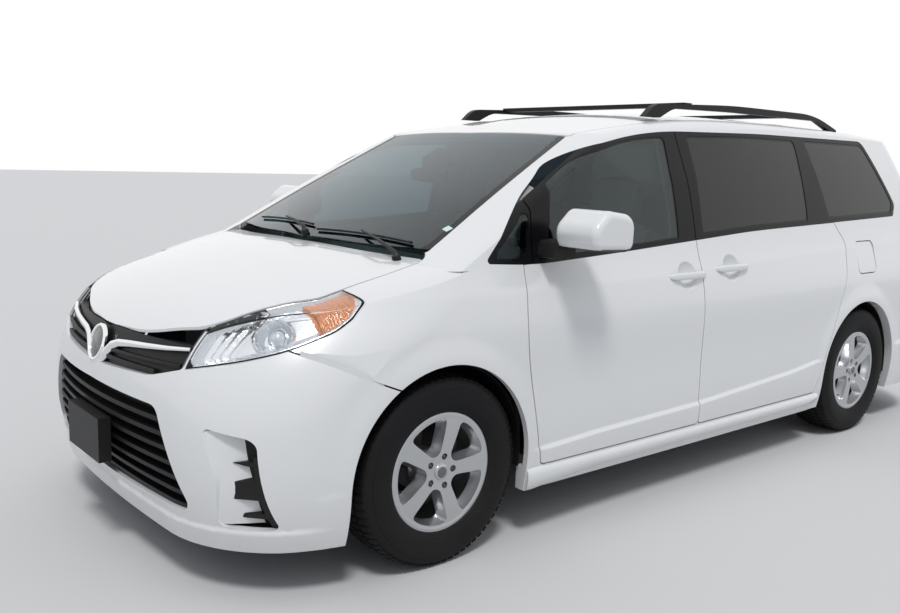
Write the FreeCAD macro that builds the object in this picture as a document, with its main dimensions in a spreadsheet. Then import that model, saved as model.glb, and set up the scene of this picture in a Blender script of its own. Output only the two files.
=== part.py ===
import FreeCAD, Part
import math
import os
from FreeCAD import Placement, Rotation, Vector

# A minivan seen as it stands parked. Millimetres, +X forward, +Y to its left, +Z up.
# The origin is on the ground, on the centre plane, at mid length.

# Driving dimensions: alias, value, what it is
SIZES = [
    ("front_axle_x", 1592.5, "front axle ahead of mid length"),
    ("wheelbase", 3030.0, "between the axles"),
    ("track", 1720.0, "between the wheels' centre planes"),
    ("tyre_radius", 357.0, "235/60 R17 tyre"),
    ("tyre_width", 235.0, "tyre section"),
    ("rim_radius", 222.0, "outside of the rim's flange"),
    ("rim_width", 196.0, "across the rim's flanges"),
    ("rim_wall", 6.0, "rim barrel"),
    ("spoke_count", 5.0, "spokes of one wheel"),
    ("spoke_root", 74.0, "spoke width at the hub"),
    ("spoke_tip", 108.0, "spoke width at the rim"),
    ("hub_radius", 68.0, "wheel's centre boss"),
    ("lug_circle", 57.15, "radius of the lug bolts' circle"),
    ("lug_hole", 9.5, "radius of a lug's well"),
    ("disc_radius", 148.0, "brake disc"),
    ("arch_gap", 46.0, "tyre to wheel arch"),
    ("seam", 5.5, "gap between panels"),
    ("skin", 46.0, "thickness of pillars, frames and upper panels"),
    ("door_wall", 95.0, "thickness of a door below its window"),
    ("door_flange", 58.0, "step between a door's outer and inner outline"),
    ("trim_wall", 18.0, "cabin lining"),
    ("panel", 24.0, "hood, fender and bumper sections"),
    ("lip", 10.0, "thickness of the outer lip round an opening panel"),
    ("lip_width", 16.0, "how far that lip reaches past the panel's inner shell"),
    ("flap", 14.0, "fuel flap"),
    ("pocket", 34.0, "depth of the pocket behind the fuel flap"),
    ("frame_inset", 1.5, "black window frames below the painted surface"),
    ("glass_inset", 4.0, "glass below the painted surface"),
    ("glass", 5.0, "glass thickness"),
    ("floor_top", 330.0, "cabin floor"),
    ("floor_wall", 70.0, "floor and its rails"),
    ("sill_bottom", 205.0, "lower edge of the sills"),
    ("liner_wall", 4.0, "wheelhouse liner"),
    ("front_house", 540.0, "inner wall of the front wheelhouses, from the centre plane"),
    ("rear_house", 668.0, "inner wall of the rear wheelhouses, from the centre plane"),
    ("steer_y", 800.0, "steering axis, from the centre plane"),
    ("rear_floor", 500.0, "raised floor over the rear axle"),
    ("rear_floor_wall", 60.0, "its thickness"),
    ("step_x", -940.0, "where the floor steps up"),
    ("seat_width", 520.0, "front seat cushion"),
    ("wheel_rim", 185.0, "steering wheel, to the middle of its rim"),
    ("rail_section", 34.0, "roof rail width"),
    ("rail_height", 34.0, "roof rail depth"),
    ("engine_length", 560.0, "engine block along the car"),
    ("engine_width", 720.0, "engine block across the car"),
    ("engine_height", 520.0, "engine block height"),
    ("tank_length", 900.0, "fuel tank along the car"),
    ("tank_width", 560.0, "fuel tank across the car"),
    ("tank_height", 88.0, "fuel tank height"),
    ("grip", 14.0, "steering wheel rim section"),
    ("plate_width", 330.0, "plate bracket across the car"),
    ("plate_height", 165.0, "plate bracket height"),
    ("plate_depth", 46.0, "plate bracket depth"),
]

doc = FreeCAD.newDocument("minivan")
sheet = doc.addObject("Spreadsheet::Sheet", "sizes")
for row, (alias, value, meaning) in enumerate(SIZES, start=1):
    sheet.set("A%d" % row, alias)
    sheet.set("B%d" % row, repr(value))
    sheet.setAlias("B%d" % row, alias)
    sheet.set("C%d" % row, meaning)
doc.recompute()


def size(alias):
    return float(getattr(sheet, alias))


FRONT_X = size("front_axle_x")
REAR_X = FRONT_X - size("wheelbase")
WHEEL_Y = size("track") / 2
WHEEL_Z = size("tyre_radius")
ARCH = size("tyre_radius") + size("arch_gap")
SEAM = size("seam")
FIT = 0.3
SKIN = size("skin")
PANEL = size("panel")

# Plan outlines of the body at rising levels. Each is a nose arc, two corner arcs, two sides and a tail.
# Columns: z, half width, nose x, nose radius, nose corner radius, tail x, tail radius, tail corner radius
LEVELS = [
    (150, 946, 2420, 9000, 480, -2495, 5000, 300),
    (330, 984, 2480, 5000, 480, -2543, 4800, 280),
    (520, 990, 2517, 3000, 500, -2547.5, 4500, 265),
    (700, 992.5, 2503, 2550, 560, -2532, 4300, 260),
    (860, 987, 2452, 1900, 700, -2503, 4200, 255),
    (980, 962, 2395, 1400, 850, -2486, 4000, 250),
    (1090, 928, 2335, 1300, 850, -2466, 3800, 240),
    (1240, 893, 2250, 1250, 820, -2418, 3600, 230),
    (1400, 848, 2150, 1200, 780, -2345, 3400, 220),
    (1560, 790, 2040, 1150, 720, -2255, 3200, 210),
    (1700, 728, 1940, 1100, 660, -2165, 3000, 200),
    (1830, 665, 1850, 1050, 600, -2080, 2900, 190),
]
# Cross sections of the hood and of the roof: a crown arc, two shoulder arcs and sides that lean outwards.
# Columns: x, height on the centre plane, crown radius, shoulder radius, half width at the shoulder's foot, lean
HOOD = [
    (1000, 1172, 9000, 150, 990, 12),
    (1600, 1124, 9000, 150, 972, 12),
    (1860, 1092, 4500, 180, 962, 12),
    (1984, 1063, 4000, 200, 942, 12),
    (2150, 1015, 3900, 160, 852, 12),
    (2300, 945, 3900, 120, 724, 12),
    (2400, 870, 3500, 100, 598, 12),
    (2480, 780, 3200, 90, 500, 12),
    (2560, 680, 3200, 90, 470, 12),
]
ROOF = [
    (2600, 1000, 14000, 90, 1060, 23),
    (1000, 1525, 14000, 90, 830, 23),
    (700, 1607, 14000, 90, 800, 23),
    (450, 1660, 10000, 95, 774, 23),
    (150, 1711, 7500, 100, 756, 23),
    (-500, 1750, 6000, 100, 751, 23),
    (-1100, 1748, 6000, 100, 751, 23),
    (-1700, 1727, 6500, 95, 757, 23),
    (-2600, 1655, 8000, 90, 785, 23),
]
# Plan outlines of the windshield's surface. Columns: z, x on the centre plane, bow radius
SCREEN = [
    (100, 3673, 2500),
    (1040, 1815, 2500),
    (1127, 1640, 2600),
    (1290, 1325, 3000),
    (1450, 1008, 3500),
    (1605, 697, 4000),
    (1800, 300, 4500),
]
BARREL = 150000.0
SCREEN_CORNER = 150.0
SCREEN_SPARE = 6.0
LID_BOTTOM = 90.0
BEHIND = -2700.0


# Geometry of tangent arcs, as cubic curves that a skin is drawn over
def meet(c1, d1, c2, d2, side):
    """the point at d1 from c1 and d2 from c2, on the stated side in the first coordinate"""
    dx, dy = c2[0] - c1[0], c2[1] - c1[1]
    apart = math.hypot(dx, dy)
    along = (d1 * d1 - d2 * d2 + apart * apart) / (2 * apart)
    off = math.sqrt(d1 * d1 - along * along)
    px, py = c1[0] + along * dx / apart, c1[1] + along * dy / apart
    both = [(px - off * dy / apart, py + off * dx / apart), (px + off * dy / apart, py - off * dx / apart)]
    return max(both, key=lambda p: side * p[0])


def reach(centre, radius, toward):
    """the point at a radius from the centre, towards another point"""
    dx, dy = toward[0] - centre[0], toward[1] - centre[1]
    away = math.hypot(dx, dy)
    return (centre[0] + radius * dx / away, centre[1] + radius * dy / away)


def mirror(p):
    return (p[0], -p[1])


def flip(p):
    return (-p[0], p[1])


def arc(c, r, a, b):
    """four poles of the arc about c from a to b"""
    a0 = math.atan2(a[1] - c[1], a[0] - c[0])
    a1 = math.atan2(b[1] - c[1], b[0] - c[0])
    turn = (a1 - a0 + math.pi) % (2 * math.pi) - math.pi
    k = 4 / 3 * math.tan(turn / 4) * r
    start = (a[0] - k * math.sin(a0), a[1] + k * math.cos(a0))
    end = (b[0] + k * math.sin(a1), b[1] - k * math.cos(a1))
    return [a, start, end, b]


def line(a, b):
    """four poles of a straight run"""
    return [(a[0] + (b[0] - a[0]) * k / 3, a[1] + (b[1] - a[1]) * k / 3) for k in range(4)]


def plan_section(z, half, nose_x, nose_r, nose_c, tail_x, tail_r, tail_c, inset):
    """one level of the body's plan, drawn inwards by the inset"""
    nose = (nose_x - nose_r, 0)
    tail = (tail_x + tail_r, 0)
    flank = (0, half - BARREL)
    front = meet(nose, nose_r - nose_c, flank, BARREL - nose_c, 1)
    rear = meet(tail, tail_r - tail_c, flank, BARREL - tail_c, -1)
    a = reach(nose, nose_r - inset, front)
    b = reach(flank, BARREL - inset, front)
    c = reach(flank, BARREL - inset, rear)
    d = reach(tail, tail_r - inset, rear)
    runs = [
        arc(nose, nose_r - inset, mirror(a), a),
        arc(front, nose_c - inset, a, b),
        arc(flank, BARREL - inset, b, c),
        arc(rear, tail_c - inset, c, d),
        arc(tail, tail_r - inset, d, mirror(d)),
        arc(mirror(rear), tail_c - inset, mirror(d), mirror(c)),
        arc(mirror(flank), BARREL - inset, mirror(c), mirror(b)),
        arc(mirror(front), nose_c - inset, mirror(b), mirror(a)),
    ]
    return [[Vector(x, y, z) for x, y in run] for run in runs]


def crown_section(x, top, crown_r, shoulder_r, half, lean, inset):
    """one cross section under the hood or roof, drawn inwards by the inset"""
    tilt = math.radians(lean)
    crown = (0, top - crown_r)
    out_y = half - shoulder_r * math.cos(tilt)
    shoulder = (out_y, crown[1] + math.sqrt((crown_r - shoulder_r) ** 2 - out_y * out_y))
    radius = shoulder_r - inset
    b = (out_y + radius * math.cos(tilt), shoulder[1] + radius * math.sin(tilt))
    a = (b[0] + (b[1] - LID_BOTTOM) * math.tan(tilt), LID_BOTTOM)
    c = reach(crown, crown_r - inset, shoulder)
    runs = [
        line(flip(a), a),
        line(a, b),
        arc(shoulder, radius, b, c),
        arc(crown, crown_r - inset, c, flip(c)),
        arc(flip(shoulder), radius, flip(c), flip(b)),
        line(flip(b), flip(a)),
    ]
    return [[Vector(x, y, z) for y, z in run] for run in runs]


def skin_over(sections, stations):
    """a closed solid over like sections, one smooth face along each of their runs"""
    span = stations[-1] - stations[0]
    at = [(s - stations[0]) / span for s in stations]
    faces = []
    for run in range(len(sections[0])):
        columns = []
        for pole in range(4):
            curve = Part.BSplineCurve()
            curve.interpolate(Points=[section[run][pole] for section in sections], Parameters=at)
            columns.append(curve)
        first = columns[0]
        surface = Part.BSplineSurface()
        surface.buildFromPolesMultsKnots([c.getPoles() for c in columns], [4, 4], first.getMultiplicities(),
                                         [0.0, 1.0], first.getKnots(), False, False, 3, first.Degree)
        faces.append(surface.toShape())
    for section in (sections[0], sections[-1]):
        edges = []
        for poles in section:
            curve = Part.BezierCurve()
            curve.setPoles(poles)
            edges.append(curve.toShape())
        faces.append(Part.Face(Part.Wire(edges)))
    shell = Part.Shell(faces)
    shell.sewShape()
    solid = Part.Solid(shell)
    if solid.Volume < 0:
        solid.reverse()
    return solid


def half_width(z):
    """the body's half width at a height, between the levels"""
    for low, high in zip(LEVELS, LEVELS[1:]):
        if z <= high[0]:
            share = (z - low[0]) / (high[0] - low[0])
            return low[1] + (high[1] - low[1]) * share
    return LEVELS[-1][1]


kept = {}


def once(maker):
    """keeps each inset volume, since several panels share it"""
    def fetch(inset):
        key = (maker.__name__, inset)
        if key not in kept:
            kept[key] = maker(inset)
        return kept[key]
    return fetch


@once
def flanks(inset):
    return skin_over([plan_section(*row, inset) for row in LEVELS], [row[0] for row in LEVELS])


@once
def hood_lid(inset):
    return skin_over([crown_section(*row, inset) for row in HOOD], [row[0] for row in HOOD])


@once
def roof_lid(inset):
    return skin_over([crown_section(*row, inset) for row in ROOF], [row[0] for row in ROOF])


@once
def screen_lid(inset):
    sections = []
    for z, x, bow in SCREEN:
        half = half_width(z) + SCREEN_SPARE
        sections.append(plan_section(z, half, x, bow, SCREEN_CORNER, BEHIND, 5000, SCREEN_CORNER, inset))
    return skin_over(sections, [row[0] for row in SCREEN])


@once
def cabin(inset):
    """everything within the sides, roof and windshield"""
    return flanks(inset).common(roof_lid(inset)).common(screen_lid(inset))


@once
def nose(inset):
    """everything within the sides and under the hood's surface"""
    return flanks(inset).common(hood_lid(inset))


# Outlines with rounded corners and the prisms that cut panels from the volumes
CORNER_SHARE = 0.48


def loop(points, place):
    """a closed wire through points given as (a, b) or (a, b, corner radius)"""
    count = len(points)
    corners = []
    for i, point in enumerate(points):
        here = Vector(point[0], point[1], 0)
        radius = point[2] if len(point) > 2 else 0
        before = Vector(*points[i - 1][:2], 0) - here
        after = Vector(*points[(i + 1) % count][:2], 0) - here
        if not radius:
            corners.append((here, None, here))
            continue
        shorter = min(before.Length, after.Length)
        before.normalize()
        after.normalize()
        half = before.getAngle(after) / 2
        pull = min(radius / math.tan(half), CORNER_SHARE * shorter)
        radius = pull * math.tan(half)
        middle = here + (before + after).normalize() * (radius / math.sin(half) - radius)
        corners.append((here + before * pull, middle, here + after * pull))
    edges = []
    for i, (start, middle, end) in enumerate(corners):
        if middle is not None:
            edges.append(Part.Arc(place(start), place(middle), place(end)).toShape())
        edges.append(Part.makeLine(place(end), place(corners[(i + 1) % count][0])))
    return Part.Wire(edges)


def prism_y(points, y0, y1):
    """a side view outline of (x, z), pulled through from y0 to y1"""
    wire = loop(points, lambda p: Vector(p.x, y0, p.y))
    return Part.Face(wire).extrude(Vector(0, y1 - y0, 0))


def prism_z(points, z0, z1):
    """a plan outline of (x, y), pulled up from z0 to z1"""
    wire = loop(points, lambda p: Vector(p.x, p.y, z0))
    return Part.Face(wire).extrude(Vector(0, 0, z1 - z0))


def prism_x(points, x0, x1):
    """a front view outline of (y, z), pulled along from x0 to x1"""
    wire = loop(points, lambda p: Vector(x0, p.x, p.y))
    return Part.Face(wire).extrude(Vector(x1 - x0, 0, 0))


def box(x0, x1, y0, y1, z0, z1):
    return Part.makeBox(x1 - x0, y1 - y0, z1 - z0, Vector(x0, y0, z0))


def barrel(x, z, radius, y0, y1):
    """a cylinder across the car"""
    return Part.makeCylinder(radius, y1 - y0, Vector(x, y0, z), Vector(0, 1, 0))


def across(shape):
    """the same piece on the other side of the centre plane"""
    return shape.mirror(Vector(0, 0, 0), Vector(0, 1, 0))


def pair(shape):
    return Part.Compound([shape, across(shape)])


def solids(shape, least=1000.0):
    """the solids of a cut, without slivers under the least volume"""
    found = [s for s in shape.Solids if s.Volume > least]
    return found[0] if len(found) == 1 else Part.Compound(found)


def both_ways(points):
    """a half outline given from the centre plane outwards, closed on the other side"""
    return [tuple(p) for p in points] + [(p[0], -p[1]) + tuple(p[2:]) for p in reversed(points) if p[1]]


def both_sides(points):
    """the same for a front view outline of (y, z)"""
    return [tuple(p) for p in points] + [(-p[0], p[1]) + tuple(p[2:]) for p in reversed(points) if p[0]]


INNER_Y = 380.0
OUTER_Y = 1150.0

# Side view outlines of (x, z, corner radius), from the front round under to the rear
DOOR_SEAM_X = 90.0
FRONT_DOOR = [(1110, 305, 15), (1213, 840, 900), (1188, 1088), (600, 1115, 6000), (DOOR_SEAM_X + SEAM / 2, 1149.5),
              (DOOR_SEAM_X + SEAM / 2, 305, 15)]
SLIDE_DOOR = [(DOOR_SEAM_X - SEAM / 2, 305, 15), (DOOR_SEAM_X - SEAM / 2, 1149.5), (-377, 1176, 9000),
              (-1172, 1200), (-1262, 1095, 60), (-1225, 900, 300), (-1100, 640, 500), (-955, 305, 15)]
WINDOW_BAND = [(1385, 1101, 12), (1137, 1086, 3000), (600, 1115, 6000), (-377, 1176, 9000), (-1893, 1224, 25),
               (-1930, 1290, 40), (-1690, 1652, 80), (-600, 1652, 9000), (280, 1632, 3000), (800, 1530, 1000),
               (1180, 1302, 2000)]
VENT_GLASS = [(1352, 1112, 12), (1168, 1101, 20), (1124, 1318, 20)]
FRONT_GLASS = [(1058, 1108, 22), (600, 1133, 5000), (213, 1158, 18), (204, 1430, 2500), (178, 1608, 25),
               (430, 1590, 2000), (790, 1505, 1000), (996, 1392, 30)]
SLIDE_GLASS = [(40, 1168, 20), (-377, 1193, 9000), (-908, 1213, 20), (-930, 1630, 25), (-450, 1633, 9000),
               (12, 1618, 20)]
QUARTER_GLASS = [(-1130, 1221, 20), (-1868, 1243, 30), (-1900, 1300, 40), (-1676, 1630, 60), (-1026, 1633, 20)]
DIVIDER_LOW = 1150.0
DIVIDER_HIGH = 1080.0
FENDER = [(1090, 180), (1796, 180), (1796, 695), (1905, 740, 300), (2075, 818, 200), (2215, 872), (2400, 905), (2400, 1300),
          (1000, 1300), (1000, 1088), (1090, 1080)]
BUMPER_FRONT = [(1790, 150), (2700, 150), (2700, 1000), (2215 + SEAM, 872 - SEAM), (1790, 872 - SEAM)]
BUMPER_REAR = [(-1600, 150), (-2700, 150), (-2700, 722), (-2300, 722), (-1780, 690, 60), (-1600, 690)]
LAMP_SIDE = [(2520, 722), (2392, 770), (2150, 846, 900), (1998, 902, 300), (1938, 938, 60), (1878, 992, 10),
             (1905, 1040), (2520, 1040)]
TAIL_LAMP = [(-2235, 1200, 30), (-2700, 1200), (-2700, 860), (-2290, 860, 60)]
FUEL_FLAP = [(-1375, 920, 30), (-1375, 1090, 30), (-1575, 1090, 30), (-1575, 920, 30)]
LAMP_INNER_Y = 592.0
TAIL_LAMP_Y = 778.0

# Plan outlines of (x, y, corner radius), from the centre plane outwards
HOOD_PLAN = [(1630, 0), (1604, 420, 1500), (1530, 752, 30), (1700, 768, 1500), (1984, 735, 60), (2060, 690, 300),
             (2302, 592, 200), (2412, 300, 800), (2436, 0)]
SCREEN_PLAN = [(1612, 0), (1582, 420, 1500), (1500, 742, 25), (676, 622, 25), (700, 0)]
ROOF_PLAN = [(694, 0), (670, 640, 15), (300, 690, 2000), (-1985, 690), (-1985, 0)]

# Front view outlines of (y, z, corner radius), from the centre plane outwards
GATE = [(0, 1900), (612, 1900), (640, 1640, 300), (762, 1200, 300), (768, 900, 200), (730, 728, 40), (0, 728)]
GATE_GLASS = [(0, 1620), (560, 1605, 60), (690, 1215, 60), (0, 1190)]
LOWER_GRILLE = [(0, 640), (500, 632, 60), (668, 300, 30), (0, 285)]
UPPER_GRILLE = [(0, 1100), (586, 1100), (586, 766, 20), (430, 722, 400), (0, 700)]
FOG_SCOOP = [(716, 600, 12), (862, 572, 45), (893, 262, 20), (748, 268, 25), (770, 420, 200)]


def flat(points):
    """a face in the side view, from an outline of (x, z)"""
    return Part.Face(loop(points, lambda p: Vector(p.x, 0, p.y)))


def wider(points, by):
    """the same face drawn outwards all round"""
    return Part.Face(loop(points, lambda p: Vector(p.x, 0, p.y)).makeOffset2D(by))


def through(face, y0, y1):
    """a side view face pulled through from y0 to y1"""
    moved = face.copy()
    moved.translate(Vector(0, y0, 0))
    return moved.extrude(Vector(0, y1 - y0, 0))


def within(cutter, surfaces, inset):
    """what of a cutter lies inside each surface drawn inwards by the inset"""
    for surface in surfaces:
        cutter = cutter.common(surface(inset))
    return cutter


def wall(cutter, surfaces, outer, inner):
    """the wall between two insets of the body, inside a cutter"""
    return within(cutter, surfaces, outer).cut(within(cutter, surfaces, inner))


SIDE = (flanks,)
CABIN = (flanks, roof_lid, screen_lid)
NOSE = (flanks, hood_lid)


def arch_face(x):
    """a wheel arch and the way out below it, in the side view"""
    disc = Part.Face(Part.Wire(Part.makeCircle(ARCH, Vector(x, 0, WHEEL_Z), Vector(0, 1, 0))))
    below = flat([(x - ARCH, WHEEL_Z), (x + ARCH, WHEEL_Z), (x + ARCH, 0), (x - ARCH, 0)])
    return disc.fuse(below)


pieces = []


def piece(name, shape):
    """puts a finished shape in the document under its node's name"""
    item = doc.addObject("Part::Feature", name)
    item.Label = name
    item.Shape = shape
    pieces.append(item)
    return item


def twins(name, shape):
    """a left piece and its mirrored right one, as two nodes"""
    piece(name + "_left", shape)
    piece(name + "_right", across(shape))


def rear_lip():
    """the strip behind the front door's rear edge where only its outer lip stays, so that it swings clear"""
    edge = DOOR_SEAM_X - SEAM
    return flat([(edge, 200), (edge, 1800), (DOOR_SEAM_X + size("lip_width"), 1800),
                 (DOOR_SEAM_X + size("lip_width"), 200)])


def make_doors():
    """front and sliding doors, each a painted shell below the belt with a thinner flange round it"""
    flange = size("door_flange")
    for name, outline in (("door_front", FRONT_DOOR), ("slide_doors", SLIDE_DOOR)):
        below = flat(outline).cut(wider(WINDOW_BAND, FIT))
        outer = wall(through(below, INNER_Y, OUTER_Y), SIDE, 0, SKIN)
        inner = wall(through(wider(outline, -flange), INNER_Y, OUTER_Y), SIDE, SKIN, size("door_wall"))
        door = solids(outer.fuse(inner))
        if name == "door_front":
            door = solids(door.cut(within(through(rear_lip(), INNER_Y, OUTER_Y), SIDE, size("lip"))))
            twins(name, door)
        else:
            piece(name, pair(door))


def band_part(side, holes):
    """a part of the black window band with its window openings"""
    face = flat(WINDOW_BAND).common(flat(side))
    for hole in holes:
        face = face.cut(flat(hole))
    return solids(within(through(face, INNER_Y, OUTER_Y), CABIN, size("frame_inset")).cut(flanks(SKIN)))


def pane(outline):
    """a curved pane that fills a window opening"""
    depth = size("glass_inset")
    return solids(wall(through(flat(outline), INNER_Y, OUTER_Y), CABIN, depth, depth + size("glass")))


def make_windows():
    gap = SEAM / 2
    door_side = [(DIVIDER_LOW - gap, 1000), (DIVIDER_HIGH - gap, 1700), (DOOR_SEAM_X + gap, 1700),
                 (DOOR_SEAM_X + gap, 1000)]
    vent_side = [(1500, 1000), (1500, 1700), (DIVIDER_HIGH + gap, 1700), (DIVIDER_LOW + gap, 1000)]
    rear_side = [(DOOR_SEAM_X - gap, 1000), (DOOR_SEAM_X - gap, 1700), (-2100, 1700), (-2100, 1000)]
    strip = within(through(rear_lip(), INNER_Y, OUTER_Y), CABIN, size("lip"))
    twins("door_frame", solids(band_part(door_side, [FRONT_GLASS]).cut(strip)))
    twins("door_glass", pane(FRONT_GLASS))
    frames = [band_part(vent_side, [VENT_GLASS]), band_part(rear_side, [SLIDE_GLASS, QUARTER_GLASS])]
    piece("window_frames", Part.Compound(frames + [across(f) for f in frames]))
    panes = [pane(SLIDE_GLASS), pane(QUARTER_GLASS)]
    piece("rear_side_glass", Part.Compound(panes + [across(p) for p in panes]))
    piece("vent_glass", pair(pane(VENT_GLASS)))
    depth = size("glass_inset")
    cutter = prism_z(both_ways(SCREEN_PLAN), 1090, 1800)
    piece("windshield", solids(wall(cutter, CABIN, depth, depth + size("glass"))))


HOOD_SWING = 8.0


def make_body_sides():
    """pillars, roof bands, sills and rear quarters of the outer body"""
    sill = size("sill_bottom")
    foot = 1090 - SEAM
    face = flat([(foot, sill), (foot, 700), (1113, 700), (1113, 1080), (1600, 1080), (1600, 1850), (-2700, 1850),
                 (-2700, sill)])
    for hole in (flat(WINDOW_BAND), wider(FRONT_DOOR, SEAM), wider(SLIDE_DOOR, SEAM), arch_face(REAR_X),
                 flat(BUMPER_REAR)):
        face = face.cut(hole)
    cutter = through(face, INNER_Y, OUTER_Y)
    for room in (
        prism_z([(1700, 0), (1665, 420, 1500), (1525, 746, 25), (672, 626, 25), (600, 0)], 1000, 1850),
        prism_z([(760, -10), (690, 600), (670, 640 + SEAM), (300, 690 + SEAM, 2000), (-1985, 690 + SEAM),
                 (-1985, -10)], 1300, 1850),
        prism_x([(-10, 1900), (612 + SEAM, 1900), (640 + SEAM, 1640, 300), (762 + SEAM, 1200, 300),
                 (768 + SEAM, 900, 200), (730 + SEAM, 728 - SEAM), (-10, 728 - SEAM)], -2700, -1985),
        hood_lid(0).common(box(900, 2700, -1200, 1200, 600, 1300)),
        Part.Face(loop(both_ways(HOOD_PLAN), lambda p: Vector(p.x, p.y, 1090)).makeOffset2D(SEAM + HOOD_SWING)).extrude(
            Vector(0, 0, 260)),
        prism_y(TAIL_LAMP, TAIL_LAMP_Y, OUTER_Y),
    ):
        cutter = cutter.cut(room)
    side = wall(cutter, CABIN, 0, SKIN)
    side = side.cut(through(wider(FUEL_FLAP, SEAM), INNER_Y, OUTER_Y).cut(flanks(size("pocket"))))
    side = side.fuse(wall(box(FUEL_FLAP[0][0] + FIT, FUEL_FLAP[0][0] + SEAM + 2, 800, OUTER_Y, 975, 1035), SIDE, 3, 12))
    piece("body_sides", pair(solids(side, 50000)))
    flap = wall(through(flat(FUEL_FLAP), INNER_Y, OUTER_Y), SIDE, 0, size("flap"))
    piece("fuel_flap", solids(flap))


def make_roof():
    cutter = prism_z(both_ways(ROOF_PLAN), 1400, 1850)
    piece("roof_panel", solids(wall(cutter, CABIN, 0, SKIN), 50000))


FENDER_TOP_X = 1546.0
LENS_BACK = 7.0
LAMP_DEPTH = 70.0
BOWL_WALL = 5.0
TRAY_WIDTH = 12.0


def tray(outline, width, depth, floor):
    """a tray behind an opening: it seats on the panel's back all round and closes the hollow"""
    rim = Part.Face(loop(outline, lambda p: Vector(2000, p.x, p.y)).makeOffset2D(width)).extrude(Vector(700, 0, 0))
    hollow = prism_x(outline, 2000, 2700)
    return wall(rim, SIDE, PANEL + FIT, floor).cut(hollow.cut(flanks(depth)))


def make_front():
    """hood, fenders, bumper and what closes their openings"""
    hood = wall(prism_z(both_ways(HOOD_PLAN), 836, 1300), NOSE, 0, size("lip"))
    inner = Part.Face(loop(both_ways(HOOD_PLAN), lambda p: Vector(p.x, p.y, 800)).makeOffset2D(-size("lip_width")))
    hood = hood.fuse(wall(inner.extrude(Vector(0, 0, 500)), NOSE, size("lip"), PANEL))
    piece("hood", solids(hood, 50000))
    outline = [(x + (SEAM if x > 1900 else -SEAM if x < 1650 else 0), y + (SEAM if y else 0)) + tuple(r)
               for x, y, *r in HOOD_PLAN]
    hood_room = prism_z(both_ways(outline), 700, 1300)
    hood_room_wide = Part.Face(loop(both_ways(outline), lambda p: Vector(p.x, p.y, 700)).makeOffset2D(BOWL_WALL))
    hood_room_wide = hood_room_wide.extrude(Vector(0, 0, 600))

    face = flat(FENDER)
    for hole in (flat(LAMP_SIDE), arch_face(FRONT_X), wider(FRONT_DOOR, SEAM), wider(WINDOW_BAND, FIT)):
        face = face.cut(hole)
    behind = face.common(flat([(900, 0), (FENDER_TOP_X, 0), (FENDER_TOP_X, 1500), (900, 1500)]))
    ahead = face.common(flat([(FENDER_TOP_X, 0), (2600, 0), (2600, 1500), (FENDER_TOP_X, 1500)]))
    fender = wall(through(ahead, 690, OUTER_Y), NOSE, 0, PANEL)
    fender = fender.fuse(within(through(behind, 690, OUTER_Y), NOSE, 0).cut(flanks(PANEL)))
    fender = fender.cut(hood_room).common(box(1100, 2700, INNER_Y, OUTER_Y, size("sill_bottom"), 1300))
    piece("fenders", pair(solids(fender, 50000)))

    lamp_room = prism_y(LAMP_SIDE, LAMP_INNER_Y, OUTER_Y)
    lens = wall(lamp_room, NOSE, 2, LENS_BACK).cut(hood_room)
    piece("headlamp_lenses", pair(solids(lens)))
    bowl = wall(lamp_room, NOSE, LENS_BACK + FIT, LAMP_DEPTH + BOWL_WALL).cut(hood_room)
    hollow = through(wider(LAMP_SIDE, -BOWL_WALL), LAMP_INNER_Y + BOWL_WALL, OUTER_Y).cut(hood_room_wide)
    bowl = bowl.cut(within(hollow, NOSE, -1).common(within(hollow, NOSE, 0)).cut(within(hollow, NOSE, LAMP_DEPTH)))
    piece("headlamp_housings", pair(solids(bowl)))

    face = flat(BUMPER_FRONT)
    for hole in (arch_face(FRONT_X), wider(FENDER, SEAM)):
        face = face.cut(hole)
    bumper = wall(through(face, -OUTER_Y, OUTER_Y).common(box(1790, 2700, -1100, 1100, 176, 1000)), SIDE, 0, PANEL)
    grille = prism_x(both_sides(UPPER_GRILLE), 2000, 2700)
    intake = prism_x(both_sides(LOWER_GRILLE), 2000, 2700)
    scoop = prism_x(FOG_SCOOP, 2000, 2700)
    for cutter in (hood_room, lamp_room, across(lamp_room), grille, intake, scoop, across(scoop)):
        bumper = bumper.cut(cutter)
    piece("front_bumper", solids(bumper, 50000))

    backing = both_sides([(0, 834), (586, 834), (586, 754, 20), (430, 710, 400), (0, 688)])
    mesh = wall(prism_x(backing, 2000, 2700), SIDE, PANEL + FIT, 50).cut(hood_room)
    lower = tray(both_sides(LOWER_GRILLE), TRAY_WIDTH, 62, 80)
    for k in range(7):
        z = 300 + k * 46
        cutter = intake.common(box(2000, 2700, -800, 800, z, z + 16))
        lower = lower.fuse(wall(cutter, SIDE, 14, 64))
    fog = tray(FOG_SCOOP, TRAY_WIDTH, 44, 60)
    piece("grilles", Part.Compound([solids(mesh), solids(lower), solids(fog), across(solids(fog))]))


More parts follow.
